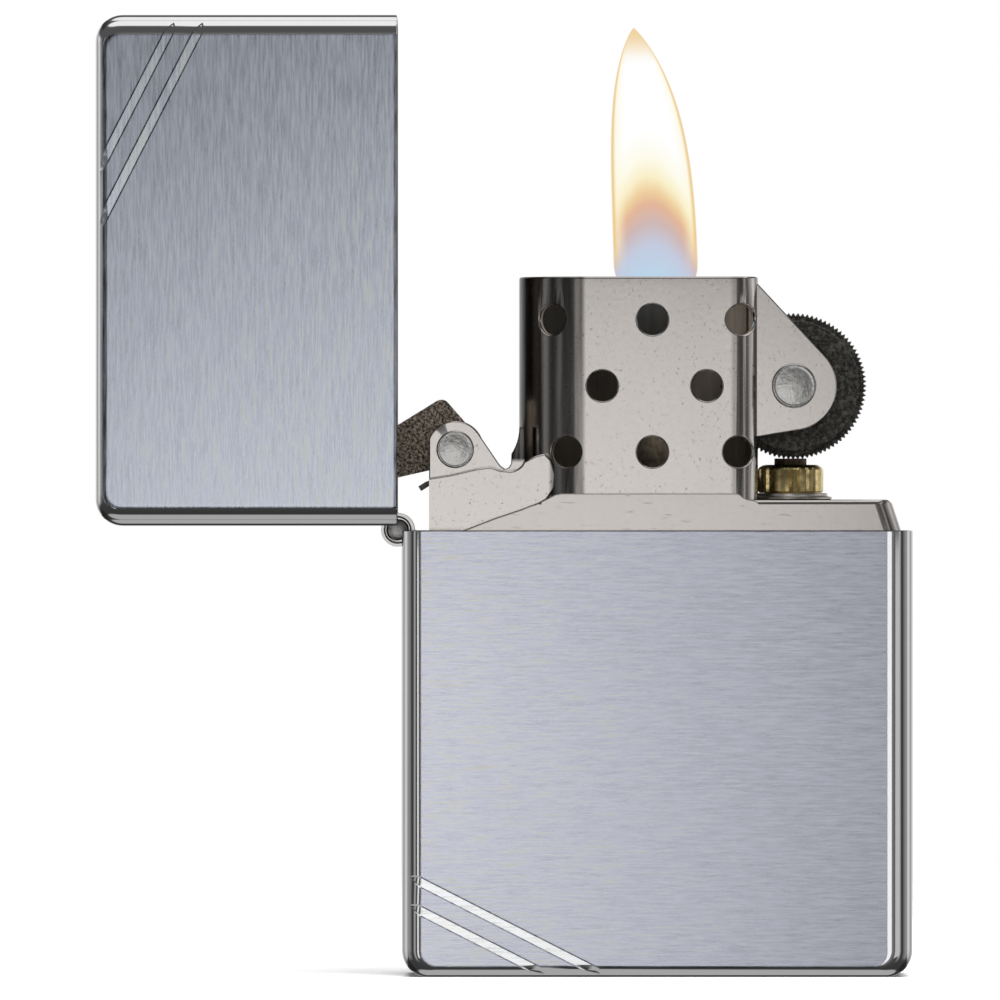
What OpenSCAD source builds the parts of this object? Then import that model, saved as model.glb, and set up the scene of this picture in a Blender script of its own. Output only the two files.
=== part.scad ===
// Windproof flip-top pocket lighter, drawn with its lid open a quarter turn.
// X runs along the width with the hinge at -X, Y runs front (-) to back (+), Z is up.
// The origin is the middle of the flat foot of the case.

/* [Case] */
// Width of the case and of the lid
case_w = 38; // [36:0.5:40]
// Depth of the case and of the lid, front to back
case_d = 13; // [12.6:0.1:14]
// Height of the lower case from its foot to its rim
case_h = 33.2; // [33:0.05:35]
// Height of the lid from its rim to its top
lid_h = 22.4; // [21.5:0.1:24]
// Thickness of the drawn brass sheet
wall = 0.65; // [0.5:0.05:0.7]
// Radius of the upright edges
edge_r = 1.6; // [1.2:0.1:2.4]
// Radius of the end corners seen from the front
corner_r = 2; // [1.4:0.1:2.6]
// Radius of the edge between a face and the foot or the lid's top
foot_r = 0.9; // [0.7:0.1:1.4]

/* [Slash marks] */
// Width of one cut slash
slash_w = 0.65; // [0.4:0.05:0.9]
// Depth of one cut slash
slash_depth = 0.2; // [0.1:0.05:0.3]
// Slope of the slashes below level
slash_angle = 27; // [20:1:35]
// Distance between the two slashes of a pair
slash_pitch = 1.9; // [1.2:0.1:3]

/* [Hinge] */
// Outer radius of the hinge barrel
barrel_r = 1.25; // [1.1:0.05:1.3]
// Radius of the hinge pin
pin_r = 0.8; // [0.6:0.05:0.85]
// Length of the five knuckles together
barrel_l = 8.8; // [8:0.1:8.8]
// Height of each hinge leaf
leaf_h = 8; // [6:0.5:10]

/* [Insert] */
// Thickness of the insert's sheet steel
sheet = 0.45; // [0.35:0.05:0.5]
// Height of the deck above the foot
deck_z = 35.5; // [35:0.1:36]
// Height of the chimney's top above the foot
chimney_top = 52.1; // [50:0.1:53]
// Radius of the air holes
hole_r = 1.15; // [0.9:0.05:1.3]

/* [Wheel] */
// Radius over the teeth of the striker wheel
wheel_r = 5.35; // [5.2:0.05:5.4]
// Number of teeth around the wheel
wheel_teeth = 96; // [48:4:96]
// Depth of the teeth
tooth_depth = 0.16; // [0.1:0.02:0.24]

/* [Hidden] */
$fn = 64;
eps = 0.01;
big = 60;

// Hinge: five knuckles on one pin, just outside the case wall at the rim.
hinge_x = -case_w / 2 - 0.3;
hinge_z = case_h + 0.05;
leaf_t = barrel_r - pin_r - 0.05;
knuckles = 5;
knuckle_gap = 0.08;
knuckle_l = (barrel_l - (knuckles - 1) * knuckle_gap) / knuckles;
notch_r = barrel_r + 0.06;
leaf_x = -case_w / 2 + wall;
lid_open = 90;

// Slash marks: where the middle of the longer slash of each pair passes.
body_slash = [-17.7, 6.75];
lid_slash = [17.3, 15.4];
slash_reach = 1.1;

// Insert: outer plan and heights.
tank_left = -16.97;
tank_right = 18.15;
tank_d = 11.1;
tank_r = 1.3;
tank_foot = 1.7;
shoulder_z = 33.4;
neck_x = -8;
slot_x = -12.2;

// Chimney plan: a half round end towards the cam, small corners towards the wheel.
end_x = -5.5;
end_r = 4.75;
side_r = 1.65;
side_x = 5.88;
foot_h = 0.8;
foot_w = 0.55;
front_holes = [
    // x, z, turn of the punch away from square on
    [-8.35, 48.9, -37], [-0.34, 48.9, 0], [6.45, 48.9, 30],
    [-4.08, 43.97, 0], [3.71, 43.97, 0],
    [-6.85, 39.05, -16], [-0.34, 39.05, 0], [6.1, 39.05, 12]
];
back_holes = [
    // x, z, turn of the punch away from square on
    [-4.08, 48.9, 0], [3.05, 48.9, 0],
    [-8.0, 43.97, -32], [-0.34, 43.97, 0], [6.45, 43.97, 30],
    [-3.6, 39.05, 0], [2.9, 39.05, 0]
];

// Wheel and its two ears.
wheel_at = [10.2, 43.97];
wheel_half = 2.9;
wheel_bore = 1.06;
ear_in = 3.15;
ear_r = 3.3;
wheel_rivet_r = 1;
wheel_rivet_head = 1.66;

// Cam, its ears and its leaf spring.
cam_at = [-15.03, 39.24];
cam_half = 2.5;
cam_heel_r = 2.15;
cam_bore = 0.95;
cam_ear_in = 2.75;
cam_ear_r = 2.1;
cam_rivet_r = 0.9;
cam_rivet_head = 1.4;
valley_r = 1;
spring_t = 0.4;
spring_half = 2.3;
spring_x = tank_left + sheet + 0.25;
spring_rivet_z = 26.5;

// Flint tube and everything stacked in it.
tube_x = 10;
tube_r = 1.9;
tube_bore = 1.27;
tube_foot = 2.65;
collar_r = 2.66;
collar_foot = 36.3;
collar_top = 38.1;
flange_r = 3.1;
flint_r = 1.2;
flint_l = 5;
flint_top = wheel_at[1] - wheel_r - 0.05;
pusher_l = 2.2;
pusher_top = flint_top - flint_l - 0.02;
coil_r = 0.9;
coil_wire = 0.17;
coil_turns = 23;
coil_steps = 10;
screw_top = 7;
screw_head_r = 2.6;

// Wick, packing and pad.
wick_r = 1.5;
wick_bore = 0.24;
wick_low_x = -4.2;
wick_top = 47;
ball_r = 4.6;
ball_pitch = 9.25;
pad_foot = 1.9;
pad_top = 4.1;

// ---- Shared shapes ----

// Rectangle with round corners, centred on the origin.
module round_rect(w, d, r) {
    square([w - 2 * r, d], center = true);
    square([w, d - 2 * r], center = true);
    for (sx = [-1, 1], sy = [-1, 1])
        translate([sx * (w / 2 - r), sy * (d / 2 - r)]) circle(r);
}

// Extrudes a shape drawn in X and Z along Y, from y0 to y1.
module along_y(y0, y1) {
    translate([0, y1, 0]) rotate([90, 0, 0]) linear_extrude(y1 - y0) children();
}

// A cylinder along Y from y0 to y1, at x and z.
module rod_y(at, r, y0, y1) {
    translate([at[0], y1, at[1]]) rotate([90, 0, 0]) cylinder(r = r, h = y1 - y0);
}

// Outline of a drawn cup, closed end down with round corners, open end at h.
module cup_outline(w, h, r) {
    translate([-w / 2, r]) square([w, h - r]);
    translate([-w / 2 + r, 0]) square([w - 2 * r, r + eps]);
    for (s = [-1, 1]) translate([s * (w / 2 - r), r]) circle(r);
}

// Solid cup, closed end at z = 0, shrunk by inset on every closed side.
module cup(h, inset) {
    w = case_w - 2 * inset;
    d = case_d - 2 * inset;
    translate([0, 0, inset]) intersection() {
        linear_extrude(h - inset) round_rect(w, d, edge_r - inset);
        along_y(-d, d) cup_outline(w, h - inset, corner_r - inset);
        rotate([90, 0, 90]) linear_extrude(2 * w, center = true)
            cup_outline(d, h - inset, foot_r - inset);
    }
}

// A pair of slanting slabs whose longer member passes through at.
module slash_slabs(at, side) {
    for (i = [0, 1], face = [-1, 1])
        translate([at[0], face * case_d / 2, at[1]]) rotate([0, slash_angle, 0])
            translate([0, -face * slash_reach / 2, side * i * slash_pitch])
                cube([big, slash_reach + eps, slash_w], center = true);
}

// The skin of a cup, as deep as a slash is cut.
module cup_skin(h) {
    difference() {
        translate([0, 0, -1]) linear_extrude(h + 1) square([case_w + 2, case_d + 2], center = true);
        cup(h + 1, slash_depth);
    }
}

// Drawn shell with its wall, open end at h.
module shell(h) {
    difference() {
        cup(h, 0);
        cup(h + 1, wall);
    }
}

// Turns a shape drawn with the lid shut into its open place.
module open_lid() {
    translate([hinge_x, 0, hinge_z]) rotate([0, -lid_open, 0])
        translate([-hinge_x, 0, -hinge_z]) children();
}

// The hinge barrel's swept space, cut from both shells.
module barrel_notch() {
    rod_y([hinge_x, hinge_z], notch_r, -barrel_l / 2 - 0.05, barrel_l / 2 + 0.05);
}

// ---- Case and hinge ----

module case_body() {
    color("lightsteelblue") difference() {
        shell(case_h);
        barrel_notch();
        intersection() {
            slash_slabs(body_slash, -1);
            cup_skin(case_h);
        }
    }
}

module case_lid() {
    color("lightsteelblue") open_lid() difference() {
        translate([0, 0, hinge_z + 0.05 + lid_h]) mirror([0, 0, 1]) shell(lid_h);
        barrel_notch();
        intersection() {
            translate([0, 0, hinge_z + 0.05]) slash_slabs(lid_slash, 1);
            translate([0, 0, hinge_z + 0.05 + lid_h]) mirror([0, 0, 1]) cup_skin(lid_h);
        }
    }
}

// Low and high end of knuckle i along Y.
function knuckle_y(i) = -barrel_l / 2 + i * (knuckle_l + knuckle_gap);

// One hinge leaf reaching down from the barrel, with every second knuckle from first.
module leaf(first) {
    difference() {
        union() {
            translate([leaf_x, -barrel_l / 2, hinge_z - leaf_h])
                cube([leaf_t, barrel_l, leaf_h]);
            for (i = [first:2:knuckles - 1])
                rod_y([hinge_x, hinge_z], barrel_r, knuckle_y(i), knuckle_y(i) + knuckle_l);
        }
        rod_y([hinge_x, hinge_z], pin_r + 0.05, -barrel_l, barrel_l);
        for (i = [1 - first:2:knuckles - 1])
            rod_y([hinge_x, hinge_z], notch_r,
                knuckle_y(i) - knuckle_gap, knuckle_y(i) + knuckle_l + knuckle_gap);
    }
}

module hinge_leaf_case() {
    color("silver") leaf(0);
}

module hinge_leaf_lid() {
    color("silver") open_lid()
        translate([0, 0, 2 * hinge_z]) mirror([0, 0, 1]) leaf(1);
}

module hinge_pin() {
    color("gray") rod_y([hinge_x, hinge_z], pin_r, -barrel_l / 2, barrel_l / 2);
}

// ---- Insert ----

// Front outline of the tank: the deck falls away towards the cam.
module tank_front(inset) {
    polygon([
        [tank_left + inset, tank_foot - 2 * inset], [tank_left + inset, 32.3 - inset],
        [-13.9, 33.5 - inset], [-12, 34.2 - inset], [-10.2, 34.75 - inset],
        [-8.9, 35.25 - inset], [neck_x, deck_z - inset],
        [tank_right - 0.75 - inset, deck_z - inset],
        [tank_right - inset, shoulder_z - inset], [tank_right - inset, tank_foot - 2 * inset]
    ]);
}

module tank_solid(inset) {
    mid_x = (tank_left + tank_right) / 2;
    intersection() {
        translate([mid_x, 0, 0]) linear_extrude(deck_z)
            round_rect(tank_right - tank_left - 2 * inset, tank_d - 2 * inset, tank_r - inset);
        along_y(-tank_d, tank_d) tank_front(inset);
    }
}

module fuel_tank() {
    color("gainsboro") difference() {
        tank_solid(0);
        tank_solid(sheet);
        translate([tank_left - 1, -cam_ear_in + 0.05, 31.5])
            cube([slot_x - tank_left + 1, 2 * (cam_ear_in - 0.05), 6]);
        translate([tube_x, 0, deck_z - 2]) cylinder(r = tube_r + 0.05, h = 4);
        translate([0, 0, deck_z - 2]) cylinder(r = wick_r + 0.2, h = 4);
        translate([tank_left - 1, 0, spring_rivet_z]) rotate([0, 90, 0])
            cylinder(r = 0.65, h = 3);
    }
}

// Plan of the chimney, shrunk by inset.
module chimney_plan(inset) {
    translate([end_x, 0]) circle(end_r - inset);
    translate([end_x, -end_r + inset]) square([side_x - end_x, 2 * (end_r - inset)]);
    translate([end_x, -end_r + side_r]) square([side_x + side_r - inset - end_x, 2 * (end_r - side_r)]);
    for (s = [-1, 1]) translate([side_x, s * (end_r - side_r)]) circle(side_r - inset);
}

// Outline of one wheel ear: a round nose, a slope up to the chimney and a flat underside.
module wheel_ear() {
    nose = [10.1, 43.95];
    up = 46.3;
    translate(nose) circle(ear_r);
    polygon([
        [side_x + 1.1, 51.95], [side_x + 1.7, 51.5],
        [nose[0] + ear_r * sin(up), nose[1] + ear_r * cos(up)], nose,
        [nose[0] + 0.3, nose[1] - ear_r + 0.01], [side_x + 1.1, 40.1]
    ]);
}

// Outline of one cam ear, with the valley between it and the chimney.
module cam_ear() {
    valley = [-10.95, 38.75];
    difference() {
        union() {
            translate(cam_at) circle(cam_ear_r);
            polygon([
                [tank_left, 31.9], [tank_left, cam_at[1] + 0.6], cam_at,
                [-13.3, 40.43], [-11.77, 38.19], [valley[0], 38],
                [-9.95, 38.6], [-8.8, 39.6], [-8.8, 34.8], [slot_x, 31.9]
            ]);
        }
        translate(valley) circle(valley_r);
        translate([tank_left - 3, 31]) square([3, 12]);
    }
}

// Punch for one air hole in the front (s = -1) or the back (s = 1) of the chimney.
module air_hole(h, s) {
    translate([h[0], s * end_r, h[1]]) rotate([0, 0, s * -h[2]])
        rod_y([0, 0], hole_r, -1.6, 1.6);
}

module chimney() {
    color("gainsboro") difference() {
        union() {
            difference() {
                translate([0, 0, deck_z]) linear_extrude(chimney_top - deck_z) chimney_plan(0);
                translate([0, 0, deck_z - 1]) linear_extrude(big) chimney_plan(sheet);
                translate([side_x - 1, -ear_in, deck_z - 1]) cube([5, 2 * ear_in, big]);
            }
            for (s = [-1, 1]) {
                along_y(s * (ear_in + sheet / 2) - sheet / 2, s * (ear_in + sheet / 2) + sheet / 2)
                    wheel_ear();
                along_y(s * (cam_ear_in + sheet / 2) - sheet / 2,
                    s * (cam_ear_in + sheet / 2) + sheet / 2) cam_ear();
                translate([end_x, s * end_r, deck_z]) rotate([90, 0, 90])
                    linear_extrude(side_x - end_x)
                        polygon([[-s * eps, 0], [s * foot_w, 0], [-s * eps, foot_h]]);
            }
        }
        tank_solid(0);
        for (h = front_holes) air_hole(h, -1);
        for (h = back_holes) air_hole(h, 1);
        rod_y(wheel_at, wheel_rivet_r + 0.03, -big, big);
        rod_y(cam_at, cam_rivet_r + 0.03, -big, big);
    }
}

// Rivet along Y with a domed head on each side, its heads resting on ears at y = face.
module rivet(at, r, head_r, face) {
    dome_h = 0.5;
    dome_r = (head_r * head_r + dome_h * dome_h) / (2 * dome_h);
    rod_y(at, r, -face - eps, face + eps);
    for (s = [-1, 1]) translate([at[0], s * face, at[1]]) rotate([s * -90, 0, 0])
        intersection() {
            cylinder(r = head_r, h = dome_h + 0.1);
            translate([0, 0, dome_h + 0.1 - dome_r]) sphere(dome_r);
        }
}

module cam_rivet() {
    color("silver") rivet(cam_at, cam_rivet_r, cam_rivet_head, cam_ear_in + sheet);
}

module wheel_rivet() {
    color("silver") rivet(wheel_at, wheel_rivet_r, wheel_rivet_head, ear_in + sheet);
}

// The cam: a round heel on the rivet and a blunt arm that reaches under the open lid.
module cam_lever() {
    color("dimgray") difference() {
        along_y(-cam_half, cam_half) {
            translate(cam_at) circle(cam_heel_r);
            translate([-16.05, 42.3]) circle(0.65);
            translate([-20.2, 39.75]) circle(0.65);
            translate([-20.25, 37.55]) circle(0.6);
            polygon([
                [-16.39, 42.86], [-20.54, 40.31], [-20.85, 39.75], [-20.85, 37.55],
                [-20.15, 36.96], [-16.9, 37.7], [-15.03, 37.1], [-13.1, 39.9], [-15.56, 42.73]
            ]);
        }
        rod_y(cam_at, cam_bore, -big, big);
    }
}

// Points on an arc about c from angle a0 to a1.
function arc(c, r, a0, a1, n) =
    [for (i = [0:n]) [c[0] + r * cos(a0 + (a1 - a0) * i / n), c[1] + r * sin(a0 + (a1 - a0) * i / n)]];

// A strip of even thickness along a path in X and Z.
module strip(path, t) {
    n = len(path) - 1;
    function side(i, s) =
        let (a = path[max(i - 1, 0)], b = path[min(i + 1, n)], d = (b - a) / norm(b - a))
        path[i] + s * t / 2 * [-d[1], d[0]];
    polygon(concat([for (i = [0:n]) side(i, 1)], [for (i = [n:-1:0]) side(i, -1)]));
}

// The leaf spring: a leg on the tank's wall, a loop, and a tongue under the cam.
spring_path = concat(
    [[spring_x, 24.2]],
    arc([spring_x + 2, 30.6], 2, 180, 135, 6),
    arc([-14.08, 35.45], 1.3, -45, 90, 12),
    arc([-16.7, 35.75], 1, 90, 123, 5),
    [[-17.68, 36.31]]
);

module cam_spring() {
    color("dimgray") difference() {
        along_y(-spring_half, spring_half) strip(spring_path, spring_t);
        translate([tank_left - 1, 0, spring_rivet_z]) rotate([0, 90, 0]) cylinder(r = 0.65, h = 3);
    }
}

module cam_spring_rivet() {
    inner = spring_x + spring_t / 2;
    color("silver") translate([tank_left, 0, spring_rivet_z]) rotate([0, 90, 0]) {
        cylinder(r = 0.6, h = inner - tank_left);
        translate([0, 0, -0.35]) cylinder(r = 1.1, h = 0.35);
        translate([0, 0, inner - tank_left]) cylinder(r = 1, h = 0.35);
    }
}

// ---- Striker ----

module flint_wheel() {
    step = 360 / wheel_teeth;
    rim = [
        for (i = [0:wheel_teeth - 1], k = [0, 1])
            let (a = (i + k / 2) * step, r = wheel_r - k * tooth_depth) [r * cos(a), r * sin(a)]
    ];
    color("dimgray") translate([wheel_at[0], 0, wheel_at[1]]) rotate([90, 0, 0]) difference() {
        union() {
            linear_extrude(2 * wheel_half - 1, center = true) polygon(rim);
            cylinder(r = wheel_r - 0.45, h = 2 * wheel_half, center = true);
        }
        cylinder(r = wheel_bore, h = big, center = true);
    }
}

module flint_tube() {
    color("goldenrod") translate([tube_x, 0, 0]) difference() {
        union() {
            translate([0, 0, tube_foot]) cylinder(r = tube_r, h = collar_top - tube_foot);
            translate([0, 0, collar_foot]) cylinder(r = collar_r, h = collar_top - collar_foot - 0.3);
            translate([0, 0, collar_top - 0.3]) cylinder(r1 = collar_r, r2 = collar_r - 0.3, h = 0.3);
        }
        translate([0, 0, -1]) cylinder(r = tube_bore, h = big);
    }
}

module tube_flange() {
    color("silver") translate([tube_x, 0, deck_z]) difference() {
        cylinder(r1 = flange_r, r2 = flange_r - 0.35, h = collar_foot - deck_z);
        translate([0, 0, -1]) cylinder(r = tube_r + 0.03, h = 4);
    }
}

module flint() {
    color("dimgray") translate([tube_x, 0, flint_top - flint_l]) cylinder(r = flint_r, h = flint_l);
}

module flint_pusher() {
    color("goldenrod") translate([tube_x, 0, pusher_top - pusher_l]) {
        cylinder(r = flint_r - 0.03, h = pusher_l);
        translate([0, 0, -1.6]) cylinder(r = 0.6, h = 1.6 + eps);
    }
}

// Coil spring between the screw and the pusher, swept as one closed tube.
module flint_spring() {
    z0 = screw_top + coil_wire + 0.02;
    z1 = pusher_top - pusher_l - coil_wire - 0.02;
    sides = 5;
    rings = coil_turns * coil_steps;
    points = [
        for (i = [0:rings], k = [0:sides - 1])
            let (a = i * 360 / coil_steps, b = k * 360 / sides, r = coil_r + coil_wire * cos(b))
            [tube_x + r * cos(a), r * sin(a), z0 + (z1 - z0) * i / rings + coil_wire * sin(b)]
    ];
    skin = [
        for (i = [0:rings - 1], k = [0:sides - 1])
            let (a = i * sides + k, b = i * sides + (k + 1) % sides)
            [a, a + sides, b + sides, b]
    ];
    ends = [[for (k = [0:sides - 1]) k], [for (k = [sides - 1:-1:0]) rings * sides + k]];
    color("silver") polyhedron(points, concat(skin, ends), convexity = 4);
}

module flint_screw() {
    color("goldenrod") translate([tube_x, 0, 0]) difference() {
        union() {
            translate([0, 0, tube_foot - 1.45]) cylinder(r = screw_head_r, h = 1.4);
            translate([0, 0, tube_foot - 0.1]) cylinder(r = flint_r, h = screw_top - tube_foot + 0.1);
        }
        translate([0, 0, tube_foot - 1.45]) cube([big, 0.8, 1.4], center = true);
    }
}

// ---- Wick, packing and pad ----

module wick_run(r) {
    bend_z = 33.2;
    low = [wick_low_x, 28.6];
    run = norm([wick_low_x, bend_z - low[1]]);
    lean = atan2(-wick_low_x, bend_z - low[1]);
    translate([0, 0, bend_z]) cylinder(r = r, h = wick_top - bend_z);
    translate([0, 0, bend_z]) sphere(r);
    translate([0, 0, bend_z]) rotate([0, 180 + lean, 0]) cylinder(r = r, h = run);
    translate([low[0], 0, low[1]]) sphere(r);
    translate([low[0], 0, 6]) cylinder(r = r, h = low[1] - 6);
}

module wick() {
    color("wheat") difference() {
        wick_run(wick_r);
        translate([0, 0, 36]) cylinder(r = wick_bore, h = 20);
    }
}

module wick_wire() {
    color("peru") translate([0, 0, 36.05]) cylinder(r = wick_bore - 0.02, h = wick_top - 35.6);
}

module cotton_packing() {
    color("white") {
        for (i = [0:2]) translate([3.1, 0, 8.9 + i * ball_pitch]) sphere(ball_r);
        for (i = [0:1]) translate([-11.5, 0, 8.9 + i * ball_pitch]) sphere(ball_r);
    }
}

module felt_pad() {
    color("whitesmoke") difference() {
        translate([(tank_left + tank_right) / 2, 0, pad_foot]) linear_extrude(pad_top - pad_foot)
            round_rect(tank_right - tank_left - 2 * sheet - 0.2, tank_d - 2 * sheet - 0.2, tank_r - sheet);
        translate([tube_x, 0, 0]) cylinder(r = screw_head_r + 0.3, h = 10);
    }
}

case_body();
case_lid();
hinge_leaf_case();
hinge_leaf_lid();
hinge_pin();
fuel_tank();
chimney();
cam_lever();
cam_rivet();
cam_spring();
cam_spring_rivet();
flint_wheel();
wheel_rivet();
flint_tube();
tube_flange();
flint();
flint_pusher();
flint_spring();
flint_screw();
wick();
wick_wire();
cotton_packing();
felt_pad();
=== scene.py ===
"""A lit flip-top pocket lighter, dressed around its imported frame.

Every length is in metres and in the frame's own axes: X across the width from the
hinge to the striker wheel, Y from the front face to the back face, Z up.
"""

import logging
import math
import random
from contextlib import contextmanager
from dataclasses import dataclass, field
from enum import Enum
from typing import Callable, Iterator, Sequence

import bmesh
import bpy
from mathutils import Matrix, Vector, noise


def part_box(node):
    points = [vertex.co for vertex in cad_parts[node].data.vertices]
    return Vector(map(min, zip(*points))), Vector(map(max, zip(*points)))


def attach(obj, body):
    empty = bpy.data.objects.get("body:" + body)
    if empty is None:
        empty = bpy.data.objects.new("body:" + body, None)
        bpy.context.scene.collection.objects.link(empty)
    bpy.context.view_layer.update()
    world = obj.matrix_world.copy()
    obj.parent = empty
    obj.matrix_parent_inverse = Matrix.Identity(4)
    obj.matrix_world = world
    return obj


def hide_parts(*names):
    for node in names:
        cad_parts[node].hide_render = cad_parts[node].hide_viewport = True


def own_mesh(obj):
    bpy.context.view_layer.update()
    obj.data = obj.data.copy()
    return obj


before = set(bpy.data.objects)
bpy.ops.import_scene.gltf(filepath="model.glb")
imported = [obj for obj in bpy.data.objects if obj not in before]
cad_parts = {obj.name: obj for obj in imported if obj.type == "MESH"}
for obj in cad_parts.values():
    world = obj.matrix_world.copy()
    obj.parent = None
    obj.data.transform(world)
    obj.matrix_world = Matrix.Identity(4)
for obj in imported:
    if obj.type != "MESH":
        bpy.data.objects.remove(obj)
log = logging.getLogger("lighter")

MM = 0.001
TINY = 1e-6
BODY_CASE, BODY_LID, BODY_INSERT = "case", "lid", "insert"
BODY_CAM, BODY_WHEEL, BODY_FLINT, BODY_SCREW = "cam", "wheel", "flint_stack", "screw"
Point = tuple[float, float]
Colour = tuple[float, float, float]

# Places and sizes that several parts of the insert share. A Point is x and z.
CAM_PIVOT: Point = (-15.03 * MM, 39.24 * MM)
WHEEL_AXLE: Point = (10.2 * MM, 43.97 * MM)
TUBE_X = 10.0 * MM
DECK = 35.5 * MM
TANK_LEFT = -16.97 * MM
SHEET = 0.45 * MM


# ---------------------------------------------------------------- modelling helpers


def clear() -> None:
    """Deselects everything."""
    bpy.ops.object.select_all(action="DESELECT")


def take(piece: bpy.types.Object) -> None:
    """Makes one object the only selected and the active one."""
    clear()
    piece.select_set(True)
    bpy.context.view_layer.objects.active = piece


@contextmanager
def editing(piece: bpy.types.Object, mode: str = "EDGE") -> Iterator[None]:
    """Opens a piece in edit mode with nothing selected.

    Args:
        piece: The object to edit.
        mode: VERT, EDGE or FACE.
    """
    take(piece)
    bpy.ops.object.mode_set(mode="EDIT")
    bpy.ops.mesh.select_mode(type=mode)
    bpy.ops.mesh.select_all(action="DESELECT")
    yield
    bpy.ops.object.mode_set(mode="OBJECT")


def edit_mesh() -> bmesh.types.BMesh:
    """The mesh that is open in edit mode."""
    return bmesh.from_edit_mesh(bpy.context.edit_object.data)


def refresh() -> None:
    """Shows code's changes to the mesh that is open in edit mode."""
    bmesh.update_edit_mesh(bpy.context.edit_object.data)


def pick_edges(test: Callable[[Vector, Vector], bool]) -> None:
    """Selects the edges whose two ends pass a test.

    Args:
        test: Takes the two ends of an edge.
    """
    bpy.ops.mesh.select_all(action="DESELECT")
    for edge in edit_mesh().edges:
        edge.select_set(test(edge.verts[0].co, edge.verts[1].co))
    refresh()


def pick_faces(test: Callable[[Vector, Vector], bool]) -> None:
    """Selects the faces that pass a test.

    Args:
        test: Takes a face's centre and its normal.
    """
    bpy.ops.mesh.select_all(action="DESELECT")
    for face in edit_mesh().faces:
        face.select_set(test(face.calc_center_median(), face.normal))
    refresh()


def move_picked(place: Callable[[Vector], Vector]) -> None:
    """Moves every selected vertex.

    Args:
        place: Gives the new place of a point.
    """
    for vert in edit_mesh().verts:
        if vert.select:
            vert.co = place(vert.co)
    refresh()


def settle(piece: bpy.types.Object) -> bpy.types.Object:
    """Moves an object's place, turn and scale into its mesh.

    Args:
        piece: The object.

    Returns:
        The same object.
    """
    take(piece)
    bpy.ops.object.transform_apply(location=True, rotation=True, scale=True)
    return piece


def modify(piece: bpy.types.Object, kind: str, **settings: object) -> None:
    """Adds a modifier and applies it.

    Args:
        piece: The object to change.
        kind: The modifier's type.
        settings: The modifier's own settings.
    """
    take(piece)
    modifier = piece.modifiers.new(kind.lower(), kind)
    for name, value in settings.items():
        setattr(modifier, name, value)
    bpy.ops.object.modifier_apply(modifier=modifier.name)


def carve(piece: bpy.types.Object, cutter: bpy.types.Object) -> None:
    """Cuts a piece with another, which is used up.

    Args:
        piece: The piece to cut.
        cutter: The cutter.
    """
    modify(piece, "BOOLEAN", operation="DIFFERENCE", solver="EXACT", object=cutter)
    bpy.data.objects.remove(cutter, do_unlink=True)


def smooth(piece: bpy.types.Object, angle: float = 32.0) -> None:
    """Shades a piece smooth, with the broad faces kept flat.

    Args:
        piece: The piece.
        angle: Edges sharper than this, in degrees, stay sharp.
    """
    take(piece)
    bpy.ops.object.shade_smooth_by_angle(angle=math.radians(angle))
    modify(piece, "WEIGHTED_NORMAL", keep_sharp=True, weight=60)


def block(low: Sequence[float], high: Sequence[float]) -> bpy.types.Object:
    """A plain block.

    Args:
        low: Its lowest corner.
        high: Its highest corner.

    Returns:
        The block.
    """
    clear()
    centre = [(a + b) / 2 for a, b in zip(low, high)]
    size = [b - a for a, b in zip(low, high)]
    bpy.ops.mesh.primitive_cube_add(size=1.0, location=centre, scale=size)
    return settle(bpy.context.object)


def rod(at: Point, radius: float, low: float, high: float, sides: int = 48) -> bpy.types.Object:
    """A cylinder along Y.

    Args:
        at: Its axis, x and z.
        radius: Its radius.
        low: The y of its front.
        high: The y of its back.
        sides: Vertices round it.

    Returns:
        The cylinder.
    """
    clear()
    bpy.ops.mesh.primitive_cylinder_add(
        vertices=sides, radius=radius, depth=high - low,
        location=(at[0], (low + high) / 2, at[1]), rotation=(math.pi / 2, 0.0, 0.0))
    return settle(bpy.context.object)


def bore(piece: bpy.types.Object, at: Sequence[float], radius: float, depth: float,
         sides: int = 48, turn: float = 0.0) -> None:
    """Drills a straight hole through a piece.

    Args:
        piece: The piece to drill.
        at: The middle of the drill.
        radius: The hole's radius.
        depth: The drill's length.
        sides: Vertices round the hole.
        turn: The drill's turn about Y, away from upright, in radians.
    """
    clear()
    bpy.ops.mesh.primitive_cylinder_add(
        vertices=sides, radius=radius, depth=depth, location=at, rotation=(0.0, turn, 0.0))
    carve(piece, settle(bpy.context.object))


def close_ends(piece: bpy.types.Object, merge: float, sides: int) -> None:
    """Merges a rolled-up piece along its seam and fills its open ends.

    Args:
        piece: The piece.
        merge: Points nearer than this become one.
        sides: The most edges that an open end has.
    """
    with editing(piece, "VERT"):
        bpy.ops.mesh.select_all(action="SELECT")
        bpy.ops.mesh.remove_doubles(threshold=merge)
        bpy.ops.mesh.select_all(action="DESELECT")
        bpy.ops.mesh.select_non_manifold()
        bpy.ops.mesh.fill_holes(sides=sides)
        bpy.ops.mesh.select_all(action="SELECT")
        bpy.ops.mesh.normals_make_consistent(inside=False)


def arc(centre: Point, radius: float, start: float, end: float, steps: int) -> list[Point]:
    """Points along an arc in x and z.

    Args:
        centre: The arc's centre.
        radius: Its radius.
        start: The angle of its first point, in degrees from +X towards +Z.
        end: The angle of its last point.
        steps: How many straight steps it takes.

    Returns:
        The points, one more than the steps.
    """
    angles = [math.radians(start + (end - start) * step / steps) for step in range(steps + 1)]
    return [(centre[0] + radius * math.cos(a), centre[1] + radius * math.sin(a)) for a in angles]


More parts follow.
